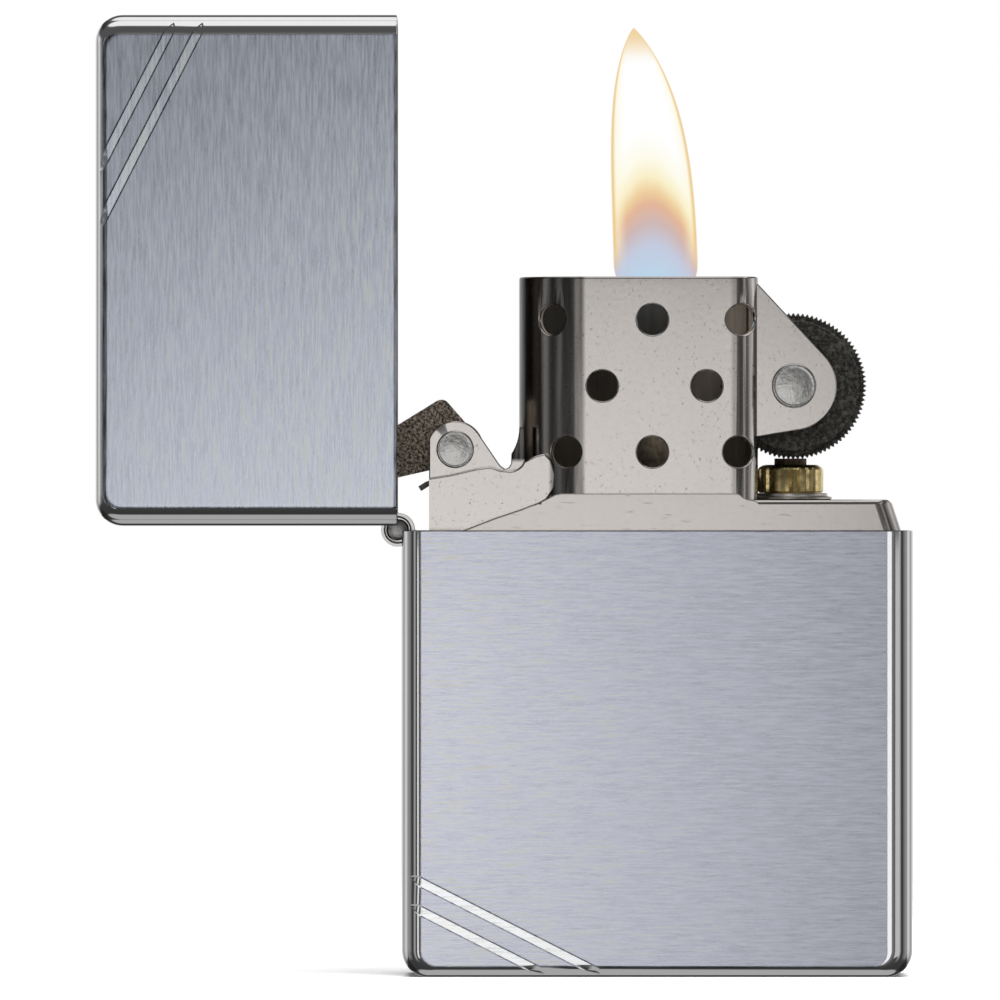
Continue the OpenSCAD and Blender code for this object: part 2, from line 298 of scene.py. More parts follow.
def plate(name: str, outline: Sequence[Point], low: float, high: float) -> bpy.types.Object:
    """A flat plate across Y.

    Args:
        name: The plate's name.
        outline: Its corners, x and z, in order.
        low: The y of its front.
        high: The y of its back.

    Returns:
        The closed plate.
    """
    clear()
    bpy.ops.mesh.primitive_circle_add(vertices=len(outline), radius=1.0, fill_type="NGON")
    piece = bpy.context.object
    piece.name = name
    for vert, (x, z) in zip(piece.data.vertices, outline):
        vert.co = (x, low, z)
    with editing(piece, "FACE"):
        bpy.ops.mesh.select_all(action="SELECT")
        bpy.ops.mesh.extrude_region_move(
            TRANSFORM_OT_translate={"value": (0.0, high - low, 0.0)})
        bpy.ops.mesh.select_all(action="SELECT")
        bpy.ops.mesh.normals_make_consistent(inside=False)
    return piece


def soften_face(piece: bpy.types.Object, depth: float, width: float, keep: float = 1.0) -> None:
    """Rounds the outline of one of a plate's two faces.

    Args:
        piece: The plate.
        depth: The y of the face.
        width: The width of the rounding.
        keep: The x of an edge that stays sharp, or 1 metre for none.
    """
    with editing(piece):
        pick_edges(lambda a, b: abs(a.y - depth) < TINY and abs(b.y - depth) < TINY
                   and max(abs(a.x - keep), abs(b.x - keep)) > TINY)
        bpy.ops.mesh.bevel(offset=width, segments=3, clamp_overlap=True)


def turned(name: str, profile: Sequence[Point], sides: int = 64) -> bpy.types.Object:
    """Turns a closed piece on a lathe, about Z.

    Args:
        name: The piece's name.
        profile: Radius and height of each ring, from the lowest up the outside.
        sides: Vertices round each ring.

    Returns:
        The piece, with both ends filled.
    """
    clear()
    first, rest = profile[0], profile[1:]
    bpy.ops.mesh.primitive_circle_add(
        vertices=sides, radius=first[0], fill_type="NGON", location=(0.0, 0.0, first[1]))
    piece = settle(bpy.context.object)
    piece.name = name
    with editing(piece):
        bpy.ops.mesh.select_all(action="SELECT")
        bpy.ops.mesh.flip_normals()
        pick_edges(lambda a, b: True)
        for radius, height in rest:
            bpy.ops.mesh.extrude_edges_move()
            move_picked(lambda co: ring_point(co, radius, height))
        bpy.ops.mesh.edge_face_add()
        bpy.ops.mesh.select_all(action="SELECT")
        bpy.ops.mesh.normals_make_consistent(inside=False)
    return piece


def ring_point(co: Vector, radius: float, height: float) -> Vector:
    """Moves a point onto a ring about Z, in its own direction from Z.

    Args:
        co: The point.
        radius: The ring's radius.
        height: Its z.

    Returns:
        The point on the ring.
    """
    flat = Vector((co.x, co.y))
    flat = flat.normalized() * radius
    return Vector((flat.x, flat.y, height))


def place_along_y(piece: bpy.types.Object, at: Point, start: float, way: int) -> None:
    """Lays a turned piece along Y.

    Args:
        piece: A piece turned about Z.
        at: Its axis, x and z.
        start: The y that its z = 0 comes to.
        way: 1 if its top points to +Y, -1 if to -Y.
    """
    turn = Matrix.Rotation(math.radians(-90.0 * way), 4, "X")
    piece.data.transform(Matrix.Translation((at[0], start, at[1])) @ turn)
    piece.data.update()


def join(name: str, parts: Sequence[bpy.types.Object]) -> bpy.types.Object:
    """Joins several solids into one piece.

    Args:
        name: The piece's name.
        parts: The solids.

    Returns:
        The piece.
    """
    take(parts[0])
    for part in parts:
        part.select_set(True)
    bpy.ops.object.join()
    piece = bpy.context.object
    piece.name = name
    return piece


def refined(node: str, name: str, width: float, segments: int = 2,
            angle: float = 34.0) -> bpy.types.Object:
    """Copies a node's solid, and breaks its sharp edges.

    Args:
        node: The node to copy.
        name: The new piece's name.
        width: The width of the broken edge.
        segments: Facets across a broken edge.
        angle: Edges sharper than this, in degrees, are broken.

    Returns:
        The copy, with its edges rounded and its normals weighted.
    """
    source = bpy.data.objects[node]
    take(source)
    bpy.ops.object.duplicate()
    piece = bpy.context.object
    piece.name = name
    piece.parent = None
    for key in [k for k in piece.keys() if k.startswith("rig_")]:
        del piece[key]
    piece.data.name = name
    bpy.ops.mesh.customdata_custom_splitnormals_clear()
    with editing(piece):
        bpy.ops.mesh.select_all(action="SELECT")
        bpy.ops.mesh.remove_doubles(threshold=0.0015 * MM)
        bpy.ops.mesh.dissolve_limited(angle_limit=math.radians(0.6))
    modify(piece, "BEVEL", width=width, segments=segments, limit_method="ANGLE",
           angle_limit=math.radians(angle), use_clamp_overlap=True, profile=0.6)
    smooth(piece)
    return piece


def finish_piece(piece: bpy.types.Object, body: str, slot: str,
                 finish: bpy.types.Material, *nodes: str) -> None:
    """Gives a piece its material, its body and the nodes that it stands for.

    Args:
        piece: The piece.
        body: The body that it rides on.
        slot: The record's material slot, which is not used.
        finish: Its material.
        nodes: The nodes that it replaces.
    """
    piece.data.materials.clear()
    piece.data.materials.append(finish)
    piece.data.name = piece.name
    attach(piece, body)
    if nodes:
        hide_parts(*nodes)
    log.info("%s: %d faces on %s", piece.name, len(piece.data.polygons), body)


# ---------------------------------------------------------------- shader helpers


class Wire:
    """One output of a shader node, on which arithmetic adds Math nodes."""

    def __init__(self, graph: "Graph", socket: bpy.types.NodeSocket) -> None:
        self.graph = graph
        self.socket = socket

    def __add__(self, other: "Wire | float") -> "Wire":
        return self.graph.math("ADD", self, other)

    def __sub__(self, other: "Wire | float") -> "Wire":
        return self.graph.math("SUBTRACT", self, other)

    def __rsub__(self, other: float) -> "Wire":
        return self.graph.math("SUBTRACT", other, self)

    def __mul__(self, other: "Wire | float") -> "Wire":
        return self.graph.math("MULTIPLY", self, other)

    def __truediv__(self, other: "Wire | float") -> "Wire":
        return self.graph.math("DIVIDE", self, other)

    def __pow__(self, other: float) -> "Wire":
        return self.graph.math("POWER", self, other)

    __radd__ = __add__
    __rmul__ = __mul__

    def size(self) -> "Wire":
        """The value without its sign."""
        return self.graph.math("ABSOLUTE", self)

    def most(self, other: "Wire | float") -> "Wire":
        """The greater of two values."""
        return self.graph.math("MAXIMUM", self, other)

    def step(self, low: float, high: float, start: float = 0.0, end: float = 1.0) -> "Wire":
        """Turns the value into a soft step.

        Args:
            low: The value where the step starts.
            high: The value where it ends.
            start: The result up to low.
            end: The result past high.

        Returns:
            The step.
        """
        return self.graph.node(
            "ShaderNodeMapRange", {"interpolation_type": "SMOOTHSTEP"},
            {0: self, 1: low, 2: high, 3: start, 4: end})


class Graph:
    """Builds the nodes of a material or of the world."""

    def __init__(self, tree: bpy.types.NodeTree) -> None:
        self.tree = tree

    def node(self, kind: str, settings: dict[str, object] | None = None,
             inputs: dict[int | str, object] | None = None, output: int | str = 0) -> Wire:
        """Adds a node.

        Args:
            kind: The node's type.
            settings: Its own settings. The key stops holds a ramp's (position, colour) pairs.
            inputs: Values or wires for its input sockets.
            output: The output socket to return.

        Returns:
            The chosen output.
        """
        made = self.tree.nodes.new(kind)
        for name, value in (settings or {}).items():
            if name == "stops":
                self.fill_ramp(made.color_ramp, value)
            else:
                setattr(made, name, value)
        for key, value in (inputs or {}).items():
            self.plug(made.inputs[key], value)
        return Wire(self, made.outputs[output])

    @staticmethod
    def fill_ramp(ramp: bpy.types.ColorRamp, stops: Sequence[tuple[float, Colour | float]]) -> None:
        """Sets a ramp's stops.

        Args:
            ramp: The ramp.
            stops: The place of each stop, and its colour or grey.
        """
        while len(ramp.elements) < len(stops):
            ramp.elements.new(0.5)
        for element, (position, colour) in zip(ramp.elements, stops):
            element.position = position
            element.color = (*colour, 1.0) if isinstance(colour, tuple) else (colour,) * 3 + (1.0,)

    def plug(self, socket: bpy.types.NodeSocket, value: object) -> None:
        """Links a socket or sets it.

        Args:
            socket: The input socket.
            value: A wire, or a plain value or colour.
        """
        if isinstance(value, Wire):
            self.tree.links.new(value.socket, socket)
        elif isinstance(value, tuple) and socket.type == "RGBA":
            socket.default_value = (*value, 1.0)
        else:
            socket.default_value = value

    def math(self, operation: str, *values: Wire | float) -> Wire:
        """Adds a Math node."""
        return self.node("ShaderNodeMath", {"operation": operation}, dict(enumerate(values)))

    def ramp(self, share: Wire, stops: Sequence[tuple[float, Colour | float]]) -> Wire:
        """A colour or grey that follows a value through stops."""
        return self.node("ShaderNodeValToRGB", {"stops": stops}, {0: share})

    def split(self, vector: Wire) -> tuple[Wire, ...]:
        """The x, y and z of a vector."""
        outputs = self.node("ShaderNodeSeparateXYZ", None, {0: vector}).socket.node.outputs
        return tuple(Wire(self, out) for out in outputs)


class Paint(Graph):
    """Builds the nodes of one material round its Principled shader."""

    def __init__(self, name: str) -> None:
        self.material = bpy.data.materials.new(name)
        self.material.use_nodes = True
        super().__init__(self.material.node_tree)
        self.shader = self.tree.nodes["Principled BSDF"]

    def mix(self, share: Wire | float, low: Wire | Colour, high: Wire | Colour) -> Wire:
        """Mixes two colours."""
        return self.node("ShaderNodeMix", {"data_type": "RGBA", "clamp_factor": True},
                         {0: share, 6: low, 7: high}, 2)

    def tint(self, colour: Wire | Colour, factor: Wire) -> Wire:
        """Scales a colour by a value."""
        return self.node("ShaderNodeVectorMath", {"operation": "SCALE"}, {0: colour, 3: factor})

    def where(self) -> Wire:
        """The piece's own coordinates."""
        return self.node("ShaderNodeTexCoord", output="Object")

    def axes(self) -> tuple[Wire, ...]:
        """The piece's own x, y and z."""
        return self.split(self.where())

    def grain(self, scale: Sequence[float], detail: float = 3.0, rough: float = 0.55) -> Wire:
        """Noise with its own scale per metre on each axis, from 0 to 1."""
        place = self.node("ShaderNodeMapping", None, {0: self.where(), 3: tuple(scale)})
        return self.node("ShaderNodeTexNoise", None,
                         {"Vector": place, "Scale": 1.0, "Detail": detail, "Roughness": rough})

    def bump(self, height: Wire, distance: float, strength: float = 1.0) -> Wire:
        """A normal bumped by a height from 0 to 1."""
        return self.node("ShaderNodeBump", None,
                         {"Strength": strength, "Distance": distance, "Height": height})

    def set(self, **values: object) -> "Paint":
        """Sets or links the shader's sockets.

        Args:
            values: A value or wire for each socket, by its name with underscores for spaces.

        Returns:
            This paint.
        """
        for name, value in values.items():
            self.plug(self.shader.inputs[name.replace("_", " ")], value)
        return self


class Grain(Enum):
    """The axis that a brushed finish runs along."""

    ACROSS = (420.0, 900.0, 5600.0)
    UPRIGHT = (5600.0, 900.0, 420.0)


@dataclass(frozen=True)
class BrushedChrome:
    """Chrome plate, brushed on the two broad panels, polished round them and dull inside.

    The panel is a rounded rectangle in x and z, given by its low and high corners. The
    hollow is a box in x and z, as deep as the face less the wall. The lip is the x of a
    mouth whose edge turns in beside the panel, and 1 metre leaves it out; a thin dark line of
    painted shade runs just inside it. The tone leans by these shares across and up the panel,
    a painted light gradient that darkens one side and pales the other.
    """

    name: str
    grain: Grain
    low: Point
    high: Point
    hollow_low: Point
    hollow_high: Point
    tone: Colour
    lean: Point
    painted_lip_shade: float = 1.0
    corner: float = 1.1 * MM
    face: float = 6.5 * MM
    groove: float = 0.1 * MM

    def make(self) -> bpy.types.Material:
        """Builds the material."""
        paint = Paint(self.name)
        x, y, z = paint.axes()
        below = self.face - y.size()
        flat = self.panel(x, z)
        brushed = flat * below.step(self.groove * 0.2, self.groove * 0.5, 1.0, 0.0)
        # Painted light in the slash grooves: the floors are painted paler as a painted highlight, and the
        # walls darker as painted shade.
        groove = below.step(self.groove * 0.7, self.groove * 0.95)
        wall = below.step(0.006 * MM, 0.02 * MM) * (1.0 - groove)
        # Painted shade: a thin dark line just inside the lid's mouth, where its turned-in edge falls dark.
        painted_lip_shade = (x.step(self.painted_lip_shade - 0.27 * MM, self.painted_lip_shade - 0.22 * MM)
               * x.step(self.painted_lip_shade - 0.08 * MM, self.painted_lip_shade - 0.03 * MM, 1.0, 0.0))
        fine = paint.grain(self.grain.value, 4.0, 0.62)
        long = paint.grain([v * 0.33 for v in self.grain.value], 2.0, 0.5)
        cloud = paint.grain((55.0, 55.0, 55.0), 2.0, 0.5)
        streak = (fine * 0.8 + long * 0.2).step(0.30, 0.70)
        shade = streak * 0.62 + cloud * 0.10 + groove * 0.30 - (wall + painted_lip_shade) * 0.6 + 0.64
        scuff = paint.grain((1400.0, 1400.0, 1400.0), 3.0, 0.7)
        # The panel's tone is scaled by slope, a painted light gradient across the panel.
        panel = paint.tint(self.tone, shade * self.slope(x, z))
        bright = paint.tint((0.80, 0.80, 0.81), scuff * 0.06 + 0.95)
        inside = self.hollow(x, y, z)
        skin = paint.mix(flat, bright, panel)
        rough = flat * (streak * 0.10 + brushed * 0.06 + 0.20) + (1.0 - flat) * (scuff * 0.05 + 0.045)
        soot = paint.tint((0.16, 0.145, 0.13), cloud + 0.5)
        paint.set(Metallic=1.0, Base_Color=paint.mix(inside, skin, soot),
                  Roughness=inside * 0.42 + (1.0 - inside) * rough,
                  Normal=paint.bump(streak * brushed, 0.004 * MM, 0.55))
        return paint.material

    def slope(self, x: Wire, z: Wire) -> Wire:
        """A painted light gradient that darkens and pales the tone across the panel.

        Args:
            x: The piece's own x.
            z: The piece's own z.

        Returns:
            A factor on the tone.
        """
        wires = [(way - (low + min(high, low + 0.037)) / 2) * (lean / (18.5 * MM))
                 for way, low, high, lean in zip((x, z), self.hollow_low, self.hollow_high, self.lean)]
        return wires[0] + wires[1] + 0.95

    def panel(self, x: Wire, z: Wire) -> Wire:
        """Masks the brushed panel.

        Args:
            x: The piece's own x.
            z: The piece's own z.

        Returns:
            1 on the panel and 0 off it.
        """
        mid = [(a + b) / 2 for a, b in zip(self.low, self.high)]
        half = [(b - a) / 2 - self.corner for a, b in zip(self.low, self.high)]
        out_x = ((x - mid[0]).size() - half[0]).most(0.0)
        out_z = ((z - mid[1]).size() - half[1]).most(0.0)
        away = x.graph.math("SQRT", out_x * out_x + out_z * out_z)
        return away.step(self.corner, self.corner + 0.05 * MM, 1.0, 0.0)

    def hollow(self, x: Wire, y: Wire, z: Wire) -> Wire:
        """Masks the inside of the shell.

        Args:
            x: The piece's own x.
            y: The piece's own y.
            z: The piece's own z.

        Returns:
            1 on the walls of the hollow and 0 on the outer skin.
        """
        mid = [(a + b) / 2 for a, b in zip(self.hollow_low, self.hollow_high)]
        half = [(b - a) / 2 for a, b in zip(self.hollow_low, self.hollow_high)]
        out = ((x - mid[0]).size() - half[0]).most((z - mid[1]).size() - half[1])
        out = out.most(y.size() - (self.face - 0.45 * MM))
        return out.step(-0.03 * MM, 0.03 * MM, 1.0, 0.0)


@dataclass(frozen=True)
class SheetSteel:
    """Bright stainless sheet with a fine skin, faint smears and handling marks."""

    name: str
    tone: Colour = (0.575, 0.542, 0.515)
    rough: float = 0.16
    skin: float = 0.0022 * MM

    def make(self) -> bpy.types.Material:
        """Builds the material."""
        paint = Paint(self.name)
        peel = paint.grain((2600.0, 2600.0, 2600.0), 4.0, 0.6)
        smear = paint.grain((180.0, 180.0, 90.0), 3.0, 0.6)
        marks = paint.grain((700.0, 700.0, 5200.0), 2.0, 0.5).step(0.62, 0.78)
        shade = smear.step(0.3, 0.7) * 0.10 + peel * 0.06 + 0.88
        paint.set(Metallic=1.0, Base_Color=paint.tint(self.tone, shade),
                  Roughness=smear * 0.10 + marks * 0.10 + (self.rough - 0.03),
                  Normal=paint.bump(peel, self.skin, 0.8))
        return paint.material


@dataclass(frozen=True)
class ScreenSteel:
    """The windscreen's sheet: bright outside, sooty inside, faintly tarnished at its mouth.

    Streaky bands of painted shade darken its round end, its corner and a strip beside the
    cam ear, and a strip of painted highlight lies next to the corner.
    """

    name: str
    end: float
    side: float
    end_r: float
    side_r: float
    sheet: float
    deck: float
    top: float
    tone: Colour = (0.575, 0.542, 0.515)

    def make(self) -> bpy.types.Material:
        """Builds the material."""
        paint = Paint(self.name)
        x, y, z = paint.axes()
        peel = paint.grain((2600.0, 2600.0, 2600.0), 4.0, 0.6)
        smear = paint.grain((260.0, 260.0, 60.0), 3.0, 0.6)
        speck = paint.grain((5200.0, 5200.0, 3600.0), 3.0, 0.7).step(0.60, 0.74)
        run = paint.grain((2400.0, 2400.0, 120.0), 4.0, 0.65)
        mouth = z.step(self.top - 0.9 * MM, self.top)
        shade = smear.step(0.3, 0.7) * 0.10 + peel * 0.06 - speck * 0.16 - mouth * 0.10 + 0.97
        # Painted shade: streaky dark bands on the round end, the corner and a strip beside the cam ear
        # stand in for the shade and dark reflections of the curved sheet.
        painted_shade = self.band(x, self.end - 2.45 * MM, self.end + 0.05 * MM) * 0.62
        painted_shade = painted_shade + self.band(x, self.side - 0.3 * MM, self.side + 0.55 * MM) * 0.36
        painted_shade = painted_shade + (self.band(x, self.end - 6.0 * MM, self.end - 4.1 * MM)
                         * z.step(self.deck + 2.7 * MM, self.deck + 3.1 * MM) * 0.9)
        # Painted highlight: a pale strip just past the corner.
        painted_highlight = self.band(x, self.side + 0.6 * MM, self.side + 1.25 * MM)
        shade = (shade * (1.0 - painted_shade * (run * 0.9 + 0.6)) + painted_highlight * 0.55).most(0.03)
        soot = self.inside(x, y) * z.step(self.deck, self.deck + 0.1 * MM)
        black = paint.tint((0.21, 0.18, 0.145), smear * 1.2 + run * 0.8 + 0.1)
        clean = 1.0 - soot
        paint.set(Metallic=clean * 0.6 + 0.4,
                  Base_Color=paint.mix(soot, paint.tint(self.tone, shade), black),
                  Roughness=clean * (smear * 0.10 + speck * 0.15 + 0.13) + soot * 0.6,
                  Normal=paint.bump(peel, 0.0024 * MM, 0.8))
        return paint.material

    def band(self, x: Wire, low: float, high: float) -> Wire:
        """Masks a band across x.

        Args:
            x: The piece's own x.
            low: Where the band starts.
            high: Where it ends.

        Returns:
            1 in the band and 0 outside it, with soft edges.
        """
        blur = 0.2 * MM
        return x.step(low - blur, low + blur) * x.step(high - blur, high + blur, 1.0, 0.0)

    def inside(self, x: Wire, y: Wire) -> Wire:
        """Masks the inner skin of the screen.

        Args:
            x: The piece's own x.
            y: The piece's own y.

        Returns:
            1 on the inner skin and 0 on the outer one.
        """
        graph, shy = x.graph, self.sheet * 0.55
        round_x = (self.end - x).most(0.0)
        square_x = (x - self.side).most(0.0)
        square_y = (y.size() - (self.end_r - self.side_r)).most(0.0)
        to_end = graph.math("SQRT", round_x * round_x + y * y) - (self.end_r - shy)
        to_side = graph.math("SQRT", square_x * square_x + square_y * square_y) - (self.side_r - shy)
        return to_end.most(to_side).step(-0.04 * MM, 0.04 * MM, 1.0, 0.0)


@dataclass(frozen=True)
class RolledSteel:
    """Bright sheet rolled round the hinge pin, with its seam showing as rings on the ends."""

    name: str
    axis: Point
    tone: Colour = (0.62, 0.61, 0.60)

    def make(self) -> bpy.types.Material:
        """Builds the material."""
        paint = Paint(self.name)
        x, _, z = paint.axes()
        dx, dz = x - self.axis[0], z - self.axis[1]
        around = paint.math("SQRT", dx * dx + dz * dz)
        seam = around.step(0.90 * MM, 0.94 * MM) * around.step(1.00 * MM, 1.04 * MM, 1.0, 0.0)
        rubbed = paint.grain((900.0, 900.0, 900.0), 4.0, 0.6)
        paint.set(Metallic=1.0, Base_Color=paint.tint(self.tone, rubbed * 0.2 + 0.86 - seam * 0.8),
                  Roughness=rubbed * 0.14 + seam * 0.3 + 0.14,
                  Normal=paint.bump(rubbed - seam, 0.02 * MM, 0.6))
        return paint.material


@dataclass(frozen=True)
class DarkSteel:
    """Hardened or blackened steel with a speckled, slightly oily skin."""

    name: str
    tone: Colour
    rough: float
    speck: float = 0.5
    pit: float = 5200.0
    pit_depth: float = 0.012 * MM

    def make(self) -> bpy.types.Material:
        """Builds the material."""
        paint = Paint(self.name)
        pits = paint.grain((self.pit, self.pit, self.pit), 5.0, 0.75).step(0.40, 0.64)
        patch = paint.grain((420.0, 420.0, 420.0), 3.0, 0.6)
        shade = (pits * self.speck + patch * 0.4 + (0.8 - self.speck / 2)).most(0.08)
        paint.set(Metallic=0.85, Base_Color=paint.tint(self.tone, shade),
                  Roughness=patch * 0.18 + pits * 0.10 + (self.rough - 0.12),
                  Normal=paint.bump(pits, self.pit_depth, 0.8))
        return paint.material


@dataclass(frozen=True)
class TurnedMetal:
    """Metal off a lathe, with fine rings about its axis and a touch of tarnish."""

    name: str
    tone: Colour
    dull: Colour
    rough: float = 0.24
    rings: tuple[float, float, float] = (300.0, 300.0, 9000.0)

    def make(self) -> bpy.types.Material:
        """Builds the material."""
        paint = Paint(self.name)
        lines = paint.grain(self.rings, 2.0, 0.5)
        tarnish = paint.grain((650.0, 650.0, 650.0), 4.0, 0.65).step(0.42, 0.72)
        colour = paint.mix(tarnish * 0.75, self.tone, self.dull)
        paint.set(Metallic=1.0, Base_Color=paint.tint(colour, lines * 0.16 + 0.88),
                  Roughness=tarnish * 0.16 + lines * 0.06 + (self.rough - 0.06),
                  Normal=paint.bump(lines, 0.003 * MM, 0.7))
        return paint.material


@dataclass(frozen=True)
class Fibre:
    """Cotton or felt: matted hairs, lit softly at the edge, and charred above a height."""

    name: str
    tone: Colour
    shade: Colour
    weave: float
    char_from: float = 1.0
    char_to: float = 2.0

    def make(self) -> bpy.types.Material:
        """Builds the material."""
        paint = Paint(self.name)
        z = paint.axes()[2]
        hair = paint.grain((self.weave, self.weave, self.weave * 0.35), 5.0, 0.7)
        clump = paint.grain((self.weave * 0.2,) * 3, 3.0, 0.6)
        colour = paint.mix(hair.step(0.35, 0.7) * 0.6 + clump * 0.4, self.shade, self.tone)
        charred = (z + (clump - 0.5) * (1.6 * MM)).step(self.char_from, self.char_to)
        colour = paint.mix(charred, colour, (0.012, 0.010, 0.009))
        paint.shader.inputs["Sheen Weight"].default_value = 0.35
        paint.shader.inputs["Sheen Roughness"].default_value = 0.5
        paint.set(Base_Color=colour, Roughness=hair * 0.1 + 0.86,
                  Normal=paint.bump(hair, 0.06 * MM, 0.9))
        return paint.material


@dataclass(frozen=True)
class FlameShape:
    """The outline of the flame, in its height above the wick.

    The half width is broad * (1 - t ** fall) ** blunt and the middle lies at
    lean * t ** sway, where t goes from 0 at the foot to 1 at the tip.
    """

    foot: float = 47.0 * MM
    tip: float = 70.75 * MM
    clear: float = 50.3 * MM
    mouth: float = 52.1 * MM
    broad: float = 3.17 * MM
    lean: float = -1.72 * MM
    sway: float = 2.4
    fall: float = 4.7
    blunt: float = 0.87


@dataclass(frozen=True)
class Glow:
    """Burning vapour: blue at the mouth, an arch of orange, white above, a thin orange rim."""

    name: str
    shape: FlameShape

    def make(self) -> bpy.types.Material:
        """Builds the material."""
        paint, shape = Paint(self.name), self.shape
        x, _, z = paint.axes()
        t = ((z - shape.foot) / (shape.tip - shape.foot)).most(0.001)
        half = ((1.0 - t ** shape.fall).most(0.0001) ** shape.blunt) * shape.broad
        across = (x - (t ** shape.sway) * shape.lean) / half
        aside = across.size()
        mouth = (shape.mouth - shape.foot) / (shape.tip - shape.foot)
        wisp = paint.grain((420.0, 420.0, 140.0), 3.0, 0.5)
        arch = (1.0 - aside * aside) * 0.175 - across * 0.03
        rise = (t - mouth) / (1.0 - mouth) - arch + (wisp - 0.5) * 0.05
        heart = paint.ramp(rise + 0.27, (
            (0.10, (0.50, 0.66, 0.82)), (0.22, (0.55, 0.60, 0.74)), (0.31, (0.62, 0.48, 0.47)),
            (0.385, (0.77, 0.47, 0.32)), (0.43, (0.86, 0.62, 0.34)), (0.49, (0.95, 0.86, 0.58)),
            (0.57, (0.99, 0.97, 0.84)), (0.68, (1.0, 1.0, 1.0))))
        warm = t.step(mouth, mouth + 0.12)
        tip = t.step(0.88, 0.99)
        cream = aside.step(0.62, 0.95) * warm * 0.6 + tip * 0.5
        body = paint.mix(cream, heart, (0.98, 0.92, 0.66))
        rim = (aside.step(0.87, 0.965) * (warm * 0.85 + 0.1)).most(tip * 0.8)
        colour = paint.mix(rim, body, (0.84, 0.58, 0.25))
        paint.shader.inputs["Emission Strength"].default_value = 1.0
        paint.shader.inputs["Specular IOR Level"].default_value = 0.0
        paint.set(Base_Color=(0.0, 0.0, 0.0), Roughness=1.0, Emission_Color=colour,
                  Alpha=aside.step(0.955, 0.999, 0.97, 0.2) * z.step(shape.clear, shape.clear + MM))
        return paint.material


# ---------------------------------------------------------------- case


